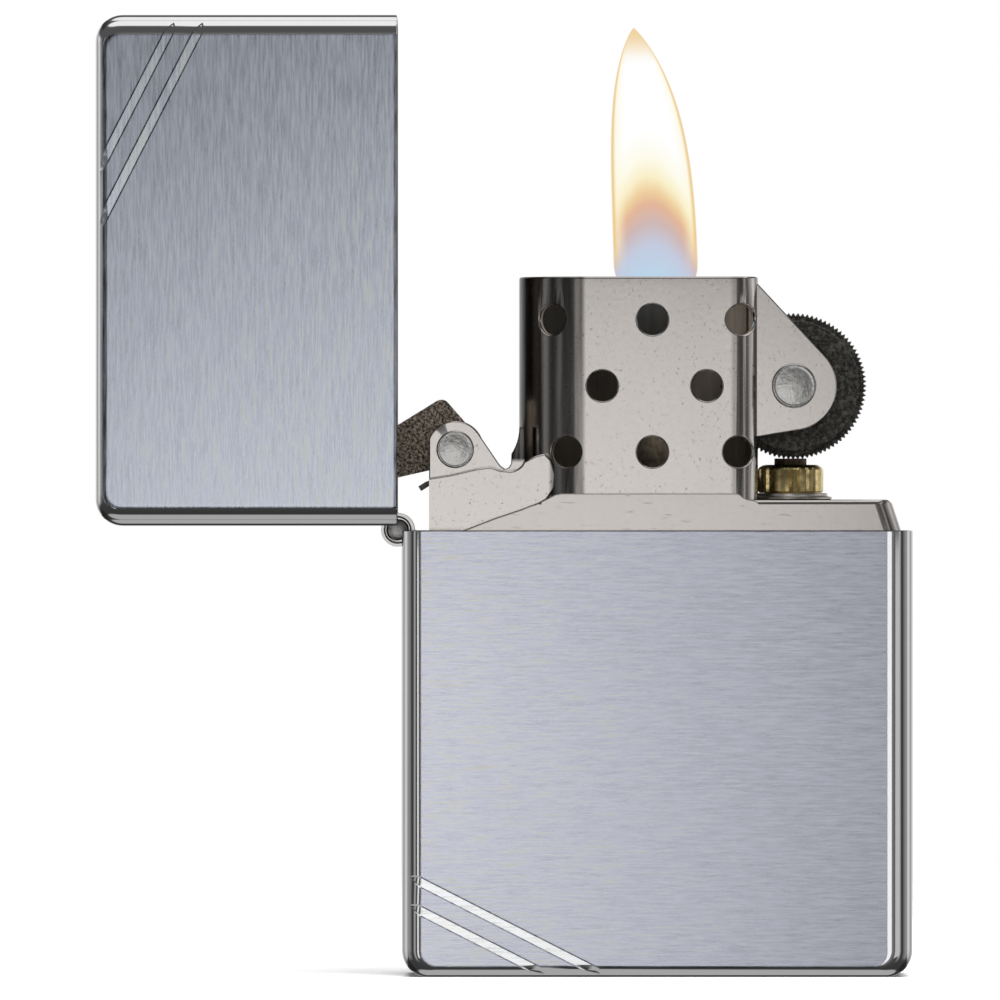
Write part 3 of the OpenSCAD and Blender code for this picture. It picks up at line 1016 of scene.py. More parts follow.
@dataclass
class Shell:
    """One drawn cup of the case, modelled closed end down with its mouth up."""

    name: str
    height: float
    slash: Point
    slash_side: int
    hinge_height: float
    width: float = 38.0 * MM
    depth: float = 13.0 * MM
    wall: float = 0.65 * MM
    floor: float = 1.0 * MM
    edge_r: float = 1.6 * MM
    corner_r: float = 2.0 * MM
    foot_r: float = 0.9 * MM
    slash_width: float = 0.78 * MM
    slash_depth: float = 0.1 * MM
    slash_angle: float = 27.0
    slash_pitch: float = 1.9 * MM
    slash_reach: float = 0.34 * MM
    notch_r: float = 1.31 * MM
    notch_half: float = 4.45 * MM
    hinge_out: float = 0.3 * MM

    def build(self) -> bpy.types.Object:
        """Models the cup with its hollow, slash marks and hinge notch."""
        cup = self.solid(0.0, self.height)
        cup.name = self.name
        self.hollow(cup)
        for face in (-1, 1):
            for index in (0, 1):
                carve(cup, self.slash_cutter(index, face))
        hinge = (-self.width / 2 - self.hinge_out, self.hinge_height)
        carve(cup, rod(hinge, self.notch_r, -self.notch_half, self.notch_half))
        smooth(cup)
        return cup

    def solid(self, inset: float, top: float) -> bpy.types.Object:
        """The cup's outer shape as a closed block.

        Args:
            inset: How far it is shrunk.
            top: The height of its flat top.

        Returns:
            The block.
        """
        wide, deep = self.width / 2 - inset, self.depth / 2 - inset
        cup = block((-wide, -deep, inset), (wide, deep, top))
        with editing(cup):
            pick_edges(lambda a, b: max(a.z, b.z) < inset + TINY and abs(a.x - b.x) < TINY)
            bpy.ops.mesh.bevel(offset=self.corner_r - inset, segments=12, clamp_overlap=False)
        self.weigh_outline(cup, deep, top)
        modify(cup, "BEVEL", width=self.edge_r - inset, segments=12, limit_method="WEIGHT",
               use_clamp_overlap=False)
        return cup

    def weigh_outline(self, cup: bpy.types.Object, deep: float, top: float) -> None:
        """Marks the outline of both broad faces for rounding, less along the foot.

        Args:
            cup: The cup as a closed block.
            deep: The y of its back face.
            top: The height of its flat top.
        """
        foot = self.foot_r / self.edge_r
        weights = cup.data.attributes.new("bevel_weight_edge", "FLOAT", "EDGE")
        for edge in cup.data.edges:
            a, b = (cup.data.vertices[i].co for i in edge.vertices)
            if min(abs(a.y), abs(b.y)) < deep - TINY or a.y * b.y < 0 or min(a.z, b.z) > top - TINY:
                continue
            weights.data[edge.index].value = foot + (1 - foot) * abs((b - a).normalized().z)

    def hollow(self, cup: bpy.types.Object) -> None:
        """Sinks the cup's inside and breaks the edges of its rim.

        Args:
            cup: The cup as a closed block.
        """
        with editing(cup, "FACE"):
            pick_faces(lambda at, normal: at.z > self.height - TINY and normal.z > 0.9)
            bpy.ops.mesh.inset(thickness=self.wall)
            bpy.ops.mesh.extrude_region_move(
                TRANSFORM_OT_translate={"value": (0.0, 0.0, self.floor - self.height)})
        with editing(cup):
            pick_edges(lambda a, b: min(a.z, b.z) > self.height - TINY
                       and not self.crosses_rim(a, b))
            bpy.ops.mesh.bevel(offset=0.09 * MM, segments=2, clamp_overlap=False)

    def crosses_rim(self, a: Vector, b: Vector) -> bool:
        """True if an edge runs from the rim's outer line to its inner one."""
        return abs((a - b).length - self.wall) < 0.35 * self.wall and self.inner(a) != self.inner(b)

    def inner(self, point: Vector) -> bool:
        """Tells the rim's inner line from its outer one.

        Args:
            point: A point of the rim.

        Returns:
            True if the point lies on the inner line.
        """
        shy = self.wall / 2
        wide, deep = self.width / 2, self.depth / 2
        dx = max(abs(point.x) - (wide - self.edge_r), 0.0)
        dy = max(abs(point.y) - (deep - self.edge_r), 0.0)
        return math.hypot(dx, dy) < self.edge_r - shy

    def slash_cutter(self, index: int, face: int) -> bpy.types.Object:
        """A slanting wedge with a blunt tip that follows the skin of one face.

        Args:
            index: Which mark of the pair.
            face: -1 for the front face, 1 for the back.

        Returns:
            The cutter.
        """
        long = 60.0 * MM
        clear()
        bpy.ops.mesh.primitive_cube_add(
            size=1.0, scale=(long, self.slash_reach * 2, self.slash_width * 2))
        slab = settle(bpy.context.object)
        with editing(slab, "VERT"):
            for vert in edit_mesh().verts:
                vert.select_set(vert.co.y * face < 0)
            refresh()
            bpy.ops.transform.resize(value=(1.0, 1.0, 0.002))
        slab.data.transform(Matrix.Translation((0.0, 0.0, self.slash_side * index * self.slash_pitch)))
        slab.data.transform(Matrix.Translation((self.slash[0], face * self.depth / 2, self.slash[1]))
                            @ Matrix.Rotation(math.radians(self.slash_angle), 4, "Y"))
        carve(slab, self.solid(self.slash_depth, self.height + 1.0 * MM))
        return slab


@dataclass
class Case:
    """The lower shell, the lid, and the hinge between them."""

    height: float = 33.2 * MM
    lid_height: float = 22.4 * MM
    hinge: Point = (-19.3 * MM, 33.25 * MM)
    gap: float = 0.05 * MM
    slash_body: Point = (-17.7 * MM, 7.13 * MM)
    slash_lid: Point = (17.3 * MM, 15.0 * MM)
    wall: float = 0.45 * MM

    def build(self) -> None:
        """Models and dresses the whole case."""
        self.add_body()
        self.add_lid()
        self.add_hinge()

    def add_body(self) -> None:
        """The lower shell."""
        shell = Shell("case_shell", self.height, self.slash_body, -1, self.hinge[1])
        cup = shell.build()
        # The case's tone carries a painted light gradient, paler towards the left.
        finish = BrushedChrome(
            "case_chrome", Grain.ACROSS, (-17.55 * MM, 0.75 * MM), (17.05 * MM, 50.0 * MM),
            (self.wall - shell.width / 2, self.wall), (shell.width / 2 - self.wall, 1.0),
            (0.80, 0.82, 0.94), (-0.12, 0.0))
        finish_piece(cup, BODY_CASE, "case_chrome", finish.make(), "case_body")

    def add_lid(self) -> None:
        """The lid, modelled shut and upside down, then set at its open place."""
        slash = (self.slash_lid[0], self.lid_height - self.slash_lid[1])
        shell = Shell("lid_shell", self.lid_height, slash, -1, self.lid_height + self.gap,
                      slash_angle=-27.0)
        cup = shell.build()
        top = self.hinge[1] + self.gap + self.lid_height
        cup.data.transform(Matrix.Translation((0.0, 0.0, top)) @ Matrix.Rotation(math.pi, 4, "X"))
        pivot = Vector((self.hinge[0], 0.0, self.hinge[1]))
        cup.data.transform(Matrix.Translation(pivot) @ Matrix.Rotation(math.radians(-90.0), 4, "Y")
                           @ Matrix.Translation(-pivot))
        cup.data.update()
        closed_end = self.hinge[0] - self.gap - self.lid_height
        low = self.hinge[1] - shell.width / 2 - self.hinge[0]
        high = low + shell.width
        # The lid's tone carries a painted light gradient, darker towards the upper left, and a painted
        # dark line runs just inside its mouth.
        finish = BrushedChrome(
            "lid_chrome", Grain.UPRIGHT, (closed_end + 0.45 * MM, low + 1.34 * MM),
            (0.0, high - 1.5 * MM), (closed_end + self.wall, low + self.wall),
            (1.0, high - self.wall), (0.80, 0.85, 0.97), (0.10, -0.085),
            self.hinge[0] - self.gap)
        finish_piece(cup, BODY_LID, "case_chrome", finish.make(), "case_lid")

    def add_hinge(self) -> None:
        """Both leaves and the pin."""
        steel = RolledSteel("hinge_steel", self.hinge).make()
        for node, body in (("hinge_leaf_case", BODY_CASE), ("hinge_leaf_lid", BODY_LID)):
            finish_piece(refined(node, node + "_formed", 0.05 * MM), body, "hinge_steel", steel, node)
        low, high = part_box("hinge_pin")
        half, radius = (high.y - low.y) / 2, (high.x - low.x) / 2
        pin = turned("pin_rounded", [
            (radius * 0.62, 0.0), (radius * 0.9, 0.06 * MM), (radius, 0.2 * MM),
            (radius, 2 * half - 0.2 * MM), (radius * 0.9, 2 * half - 0.06 * MM),
            (radius * 0.62, 2 * half)], 40)
        place_along_y(pin, self.hinge, -half, 1)
        smooth(pin)
        metal = TurnedMetal("pin_steel", (0.42, 0.41, 0.40), (0.2, 0.19, 0.18), 0.3).make()
        finish_piece(pin, BODY_CASE, "pin_steel", metal, "hinge_pin")


# ---------------------------------------------------------------- insert


@dataclass
class Windscreen:
    """The drilled screen round the wick, with its ears for the cam and the wheel."""

    end: float = -5.5 * MM
    end_r: float = 4.75 * MM
    side: float = 5.88 * MM
    side_r: float = 1.65 * MM
    sheet: float = SHEET
    deck: float = DECK
    root: float = 34.9 * MM
    top: float = 52.1 * MM
    hole_r: float = 1.15 * MM
    cam: Point = CAM_PIVOT
    cam_ear_r: float = 2.1 * MM
    cam_ear_in: float = 2.75 * MM
    valley: Point = (-10.95 * MM, 38.75 * MM)
    sweep: Point = (-13.9 * MM, 40.9 * MM)
    sweep_r: float = 3.65 * MM
    wheel: Point = WHEEL_AXLE
    nose: Point = (10.1 * MM, 43.95 * MM)
    nose_r: float = 3.3 * MM
    wheel_ear_in: float = 3.15 * MM
    left: float = TANK_LEFT
    # Each air hole: x and z in millimetres, and its turn in degrees away from square on.
    front_holes: tuple[tuple[float, float, float], ...] = (
        (-8.35, 48.9, -37), (-0.34, 48.9, 0), (6.45, 48.9, 30), (-4.08, 43.97, 0),
        (3.71, 43.97, 0), (-6.85, 39.05, -16), (-0.34, 39.05, 0), (6.1, 39.05, 12))
    back_holes: tuple[tuple[float, float, float], ...] = (
        (-4.08, 48.9, 0), (3.05, 48.9, 0), (-8.0, 43.97, -32), (-0.34, 43.97, 0),
        (6.45, 43.97, 30), (-3.6, 39.05, 0), (2.9, 39.05, 0))

    def build(self) -> None:
        """Models and dresses the screen."""
        shell = self.shell()
        parts = [shell]
        for side in (-1, 1):
            parts += [self.wheel_ear(side), self.cam_ear(side), self.shoulder(side)]
        screen = join("windscreen_formed", parts)
        smooth(screen, 38.0)
        modify(screen, "WEIGHTED_NORMAL", keep_sharp=True)
        finish = ScreenSteel("screen_steel", self.end, self.side, self.end_r, self.side_r,
                             self.sheet, self.deck, self.top)
        finish_piece(screen, BODY_INSERT, "insert_steel", finish.make(), "chimney")

    def shell(self) -> bpy.types.Object:
        """The drawn tube, open towards the wheel, with its holes punched."""
        right = self.side + self.side_r
        shell = block((self.end - self.end_r, -self.end_r, self.root), (right, self.end_r, self.top))
        with editing(shell):
            pick_edges(lambda a, b: abs(a.z - b.z) > MM and a.x < self.end)
            bpy.ops.mesh.bevel(offset=self.end_r, segments=22, clamp_overlap=False)
            pick_edges(lambda a, b: abs(a.z - b.z) > MM and a.x > right - TINY)
            bpy.ops.mesh.bevel(offset=self.side_r, segments=10, clamp_overlap=False)
            bpy.ops.mesh.select_all(action="SELECT")
            bpy.ops.mesh.remove_doubles(threshold=0.002 * MM)
        with editing(shell, "FACE"):
            pick_faces(lambda at, normal: abs(normal.z) > 0.9 and abs(at.x) < 2 * MM)
            bpy.ops.mesh.delete(type="FACE")
        modify(shell, "SOLIDIFY", thickness=self.sheet, offset=-1.0, use_even_offset=True)
        self.round_mouth(shell)
        bay = self.wheel_ear_in
        carve(shell, block((self.side - MM, -bay, self.root - MM), (right + MM, bay, self.top + MM)))
        for side, holes in ((-1, self.front_holes), (1, self.back_holes)):
            for hole in holes:
                self.punch(shell, hole, side)
        return shell

    def round_mouth(self, shell: bpy.types.Object) -> None:
        """Rounds both edges of the screen's mouth.

        Args:
            shell: The screen.
        """
        with editing(shell):
            pick_edges(lambda a, b: min(a.z, b.z) > self.top - TINY
                       and abs(self.skin(a) - self.skin(b)) < 0.1 * MM)
            bpy.ops.mesh.bevel(offset=0.17 * MM, segments=4, clamp_overlap=True)

    def skin(self, point: Vector) -> float:
        """Measures how far out a point lies.

        Args:
            point: A point of the screen.

        Returns:
            Its distance out, which is end_r all over the outer skin.
        """
        if point.x < self.end:
            return math.hypot(point.x - self.end, point.y)
        if point.x < self.side:
            return abs(point.y)
        flat = self.end_r - self.side_r
        return flat + math.hypot(point.x - self.side, max(abs(point.y) - flat, 0.0))

    def punch(self, shell: bpy.types.Object, hole: tuple[float, float, float], side: int) -> None:
        """Cuts one air hole and rounds its rim.

        Args:
            shell: The screen.
            hole: Its x, z and turn.
            side: -1 for the front wall, 1 for the back.
        """
        at = Vector((hole[0] * MM, side * self.end_r, hole[1] * MM))
        spin = Matrix.Rotation(math.radians(-side * hole[2]), 3, "Z")
        axis = spin @ Vector((0.0, 1.0, 0.0))
        cutter = rod((0.0, 0.0), self.hole_r, -1.7 * MM, 1.7 * MM, 40)
        cutter.data.transform(Matrix.Translation(at) @ spin.to_4x4())
        carve(shell, cutter)

        def on_rim(point: Vector) -> bool:
            """True if a point lies on the hole's outer rim."""
            away = point - at
            radius = (away - axis * away.dot(axis)).length
            return (abs(radius - self.hole_r) < 0.02 * MM and away.length < 2.6 * MM
                    and self.skin(point) > self.end_r - 0.12 * MM)

        with editing(shell):
            pick_edges(lambda a, b: on_rim(a) and on_rim(b))
            bpy.ops.mesh.bevel(offset=0.13 * MM, segments=3, clamp_overlap=False)

    def drilled(self, ear: bpy.types.Object, at: Point, radius: float, side: int,
                face: float) -> bpy.types.Object:
        """Drills an ear for its rivet and rounds the outline of its outer face.

        Args:
            ear: The ear.
            at: The rivet's axis, x and z.
            radius: The hole's radius.
            side: -1 for the front ear, 1 for the back.
            face: How far from the middle its outer face lies.

        Returns:
            The ear.
        """
        soften_face(ear, side * face, 0.09 * MM)
        carve(ear, rod(at, radius, -20 * MM, 20 * MM, 32))
        return ear

    def wheel_ear(self, side: int) -> bpy.types.Object:
        """One ear of the wheel.

        Args:
            side: -1 for the front ear, 1 for the back.

        Returns:
            The ear.
        """
        inner, outer = side * self.wheel_ear_in, side * (self.wheel_ear_in + self.sheet)
        start = self.side + 1.1 * MM
        outline = [(start, 40.1 * MM), (start, 51.95 * MM), (7.58 * MM, 51.5 * MM)]
        outline += arc(self.nose, self.nose_r, 43.7, -85.0, 22)
        ear = plate("wheel_ear", outline, min(inner, outer), max(inner, outer))
        return self.drilled(ear, self.wheel, 1.03 * MM, side, self.wheel_ear_in + self.sheet)

    def cam_ear(self, side: int) -> bpy.types.Object:
        """One ear of the cam, which runs into the screen in a valley.

        Args:
            side: -1 for the front ear, 1 for the back.

        Returns:
            The ear.
        """
        inner, outer = side * self.cam_ear_in, side * (self.cam_ear_in + self.sheet)
        outline = [(self.left, 32.0 * MM)]
        outline += arc(self.cam, self.cam_ear_r, 157.5, 34.5, 18)
        outline += arc(self.valley, MM, 214.3, 252.0, 7)
        outline += [(-11.02 * MM, 37.92 * MM), (-10.86 * MM, 38.2 * MM)]
        outline += arc(self.sweep, self.sweep_r, -33.0, 0.0, 7)
        outline += [(-9.8 * MM, 40.9 * MM), (-9.8 * MM, 38.3 * MM),
                    (-8.8 * MM, 38.3 * MM), (-8.8 * MM, 32.0 * MM)]
        ear = plate("cam_ear", outline, min(inner, outer), max(inner, outer))
        return self.drilled(ear, self.cam, 0.93 * MM, side, self.cam_ear_in + self.sheet)

    def shoulder(self, side: int) -> bpy.types.Object:
        """The pressed shoulder that carries an ear and the screen down to the deck.

        Args:
            side: -1 for the front, 1 for the back.

        Returns:
            The shoulder.
        """
        inner, outer = side * 3.0 * MM, side * 4.3 * MM
        outline = [(self.left, 32.3 * MM), (self.left, 37.1 * MM), (-15.4 * MM, 37.35 * MM),
                   (-13.5 * MM, 37.8 * MM), (-12.4 * MM, 37.95 * MM), (-11.7 * MM, 37.7 * MM)]
        outline += arc(self.valley, 1.12 * MM, 262.0, 338.0, 8)
        outline += [(-9.1 * MM, 38.75 * MM), (-8.35 * MM, 38.95 * MM), (-7.85 * MM, 38.4 * MM),
                    (-7.55 * MM, 37.4 * MM), (-7.65 * MM, 36.3 * MM), (-8.2 * MM, 35.5 * MM),
                    (-9.2 * MM, 34.9 * MM), (-10.4 * MM, 34.3 * MM), (-12.1 * MM, 33.7 * MM),
                    (-14.0 * MM, 33.0 * MM)]
        shoulder = plate("shoulder", outline, min(inner, outer), max(inner, outer))
        soften_face(shoulder, outer, 0.14 * MM, self.left)
        return shoulder


@dataclass
class Tank:
    """The tank, whose deck falls away towards the cam."""

    left: float = TANK_LEFT
    right: float = 18.15 * MM
    foot: float = 1.7 * MM
    deck: float = DECK
    depth: float = 11.1 * MM
    sheet: float = SHEET
    corner_r: float = 1.3 * MM
    bend_r: float = 0.38 * MM
    drop: float = 17.4 * MM
    tube_hole_r: float = 1.95 * MM
    wick_hole_r: float = 1.7 * MM
    rivet_z: float = 26.5 * MM
    rivet_r: float = 0.65 * MM

    def build(self) -> None:
        """Models and dresses the tank."""
        tank = plate("tank_formed", self.outline(), -self.depth / 2, self.depth / 2)
        self.weigh_bends(tank)
        modify(tank, "BEVEL", width=self.corner_r, segments=7, limit_method="WEIGHT",
               use_clamp_overlap=False)
        with editing(tank, "FACE"):
            pick_faces(lambda at, normal: at.z < self.foot + TINY)
            bpy.ops.mesh.delete(type="FACE")
        modify(tank, "SOLIDIFY", thickness=self.sheet, offset=-1.0)
        carve(tank, block((self.left - MM, -2.7 * MM, 31.5 * MM), (-12.2 * MM, 2.7 * MM, 37.5 * MM)))
        for x, radius in ((TUBE_X, self.tube_hole_r), (0.0, self.wick_hole_r)):
            bore(tank, (x, 0.0, self.deck), radius, 4 * MM)
        bore(tank, (self.left, 0.0, self.rivet_z), self.rivet_r, 4 * MM, 24, math.pi / 2)
        tank = join("tank_formed", [tank, self.skirt(-1), self.skirt(1)])
        smooth(tank)
        modify(tank, "WEIGHTED_NORMAL", keep_sharp=True)
        finish_piece(tank, BODY_INSERT, "insert_steel", SheetSteel("tank_steel").make(), "fuel_tank")

    def weigh_bends(self, tank: bpy.types.Object) -> None:
        """Marks the tank's edges for rounding, each with its own radius.

        Args:
            tank: The tank as a closed block.
        """
        weights = tank.data.attributes.new("bevel_weight_edge", "FLOAT", "EDGE")
        for edge in tank.data.edges:
            a, b = (tank.data.vertices[i].co for i in edge.vertices)
            if max(a.z, b.z) < self.foot + TINY:
                continue
            upright = abs((b - a).normalized().z)
            radius = self.bend_r if upright < 0.05 or a.x > 0 else 0.3 * self.bend_r
            radius = self.corner_r if upright > 0.8 else radius
            if a.y * b.y < 0:
                radius = self.bend_r * 1.2 if abs(a.x - self.drop) < TINY else 0.0
            weights.data[edge.index].value = radius / self.corner_r

    def skirt(self, side: int) -> bpy.types.Object:
        """The pressed rise at the foot of one of the screen's flat walls.

        Args:
            side: -1 for the front, 1 for the back.

        Returns:
            The rise.
        """
        inner, outer = side * 4.5 * MM, side * (self.depth / 2 + 0.005 * MM)
        outline = [(-8.6 * MM, 34.9 * MM), (-8.6 * MM, 35.35 * MM), (-8.1 * MM, 35.6 * MM),
                   (-7.6 * MM, 35.85 * MM), (-7.1 * MM, 35.95 * MM), (5.85 * MM, 35.95 * MM),
                   (6.15 * MM, 35.87 * MM), (6.4 * MM, 35.66 * MM), (6.75 * MM, 35.5 * MM),
                   (7.3 * MM, 35.42 * MM), (7.6 * MM, 35.2 * MM), (7.6 * MM, 34.9 * MM)]
        skirt = plate("skirt", outline, min(inner, outer), max(inner, outer))
        with editing(skirt):
            pick_edges(lambda a, b: abs(a.y - outer) < TINY and abs(b.y - outer) < TINY
                       and max(a.z, b.z) > 35.0 * MM and min(a.z, b.z) > 34.95 * MM)
            bpy.ops.mesh.bevel(offset=0.07 * MM, segments=3, clamp_overlap=True)
        return skirt

    def outline(self) -> list[Point]:
        """The tank's outline from the front."""
        slope = [(-13.95, 33.4), (-12.0, 34.15), (-10.2, 34.75), (-8.9, 35.25)]
        return [(self.left, self.foot), (self.left, 32.25 * MM),
                *((x * MM, z * MM) for x, z in slope),
                (-8.0 * MM, self.deck), (self.drop, self.deck),
                (self.right, 33.2 * MM), (self.right, self.foot)]


@dataclass
class Insert:
    """The rivets and the cam spring."""

    cam: Point = CAM_PIVOT
    wheel: Point = WHEEL_AXLE
    cam_face: float = 3.2 * MM
    wheel_face: float = 3.6 * MM

    def build(self) -> None:
        """Models and dresses the small fixings."""
        rivet = SheetSteel("rivet_steel", (0.62, 0.61, 0.59), 0.22, 0.03 * MM).make()
        finish_piece(self.rivet("cam_rivet_domed", self.cam, 0.9 * MM, 1.4 * MM, self.cam_face),
                     BODY_INSERT, "rivet_steel", rivet, "cam_rivet")
        finish_piece(self.rivet("wheel_rivet_domed", self.wheel, 1.0 * MM, 1.66 * MM, self.wheel_face),
                     BODY_INSERT, "rivet_steel", rivet, "wheel_rivet")
        blued = DarkSteel("spring_steel", (0.16, 0.14, 0.13), 0.34, 0.3).make()
        finish_piece(refined("cam_spring", "cam_spring_formed", 0.05 * MM), BODY_INSERT,
                     "spring_steel", blued, "cam_spring")
        finish_piece(refined("cam_spring_rivet", "cam_spring_rivet_formed", 0.08 * MM, 3),
                     BODY_INSERT, "rivet_steel", rivet, "cam_spring_rivet")

    def rivet(self, name: str, at: Point, shank: float, head: float, face: float) -> bpy.types.Object:
        """A rivet along Y with a low, nearly flat head at each end.

        Args:
            name: The piece's name.
            at: Its axis, x and z.
            shank: The shank's radius.
            head: The heads' radius.
            face: The y at which each head starts.

        Returns:
            The rivet.
        """
        dome = ((0.97, 0.0), (1.0, 0.05), (1.0, 0.22), (0.985, 0.30), (0.95, 0.35), (0.90, 0.365),
                (0.86, 0.345), (0.82, 0.345), (0.62, 0.375), (0.4, 0.395), (0.2, 0.405), (0.05, 0.41))
        upper = [(shank, face)] + [(head * wide, face + tall * MM) for wide, tall in dome]
        lower = [(radius, -height) for radius, height in reversed(upper)]
        piece = turned(name, lower + upper, 56)
        place_along_y(piece, at, 0.0, 1)
        smooth(piece, 50.0)
        return piece


@dataclass
class Cam:
    """The cam that holds the lid."""

    def build(self) -> None:
        """Models and dresses the cam."""
        dark = DarkSteel("cam_steel", (0.36, 0.30, 0.24), 0.38, 1.9, 4800.0, 0.05 * MM).make()
        finish_piece(refined("cam_lever", "cam_formed", 0.16 * MM, 3), BODY_CAM, "cam_steel",
                     dark, "cam_lever")


@dataclass
class Striker:
    """The knurled wheel."""

    at: Point = WHEEL_AXLE
    radius: float = 5.45 * MM
    cut: float = 0.26 * MM
    cross_cut: float = 0.17 * MM
    teeth: int = 96
    rows: int = 12
    half: float = 2.4 * MM
    hub_half: float = 2.9 * MM
    hub: float = 4.88 * MM
    bore: float = 1.06 * MM

    def build(self) -> None:
        """Models and dresses the wheel."""
        wheel = self.rim()
        with editing(wheel):
            for side in (-1, 1):
                edge = side * self.half
                pick_edges(lambda a, b: abs(a.z - edge) < TINY and abs(b.z - edge) < TINY)
                for radius, height in ((self.hub + 0.06 * MM, edge), (self.hub, edge + side * 0.06 * MM),
                                       (self.hub, side * (self.hub_half - 0.1 * MM)),
                                       (self.hub - 0.1 * MM, side * self.hub_half),
                                       (self.hub * 0.56, side * self.hub_half),
                                       (self.hub * 0.53, side * (self.hub_half - 0.12 * MM)),
                                       (self.bore + 0.5 * MM, side * (self.hub_half - 0.12 * MM)),
                                       (self.bore + 0.42 * MM, side * self.hub_half),
                                       (self.bore, side * self.hub_half)):
                    bpy.ops.mesh.extrude_edges_move()
                    move_picked(lambda co: ring_point(co, radius, height))
            top = self.hub_half
            pick_edges(lambda a, b: max(math.hypot(a.x, a.y), math.hypot(b.x, b.y)) < self.bore + TINY
                       and abs(a.z - b.z) < TINY and abs(abs(a.z) - top) < TINY)
            bpy.ops.mesh.bridge_edge_loops()
            bpy.ops.mesh.select_all(action="SELECT")
            bpy.ops.mesh.normals_make_consistent(inside=False)
        place_along_y(wheel, self.at, 0.0, 1)
        take(wheel)
        bpy.ops.object.shade_smooth_by_angle(angle=math.radians(24.0))
        dark = DarkSteel("wheel_steel", (0.092, 0.088, 0.078), 0.46, 1.3, 3600.0, 0.05 * MM).make()
        finish_piece(wheel, BODY_WHEEL, "wheel_steel", dark, "flint_wheel")

    def rim(self) -> bpy.types.Object:
        """The cross-cut rim, rolled up from a flat grid of points."""
        clear()
        around = self.teeth * 2
        bpy.ops.mesh.primitive_grid_add(x_subdivisions=around, y_subdivisions=self.rows, size=1.0)
        rim = bpy.context.object
        rim.name = "wheel_knurled"
        for vert in rim.data.vertices:
            column = round((vert.co.x + 0.5) * around)
            row = round((vert.co.y + 0.5) * self.rows)
            angle = 2 * math.pi * (column % around) / around
            tooth = self.cut if column % 2 else 0.0
            across = self.cross_cut if row % 3 == 0 else 0.0
            radius = self.radius - max(tooth, across)
            vert.co = (radius * math.cos(angle), radius * math.sin(angle),
                       self.half * (2 * row / self.rows - 1))
        with editing(rim, "VERT"):
            bpy.ops.mesh.select_all(action="SELECT")
            bpy.ops.mesh.remove_doubles(threshold=0.002 * MM)
        return rim


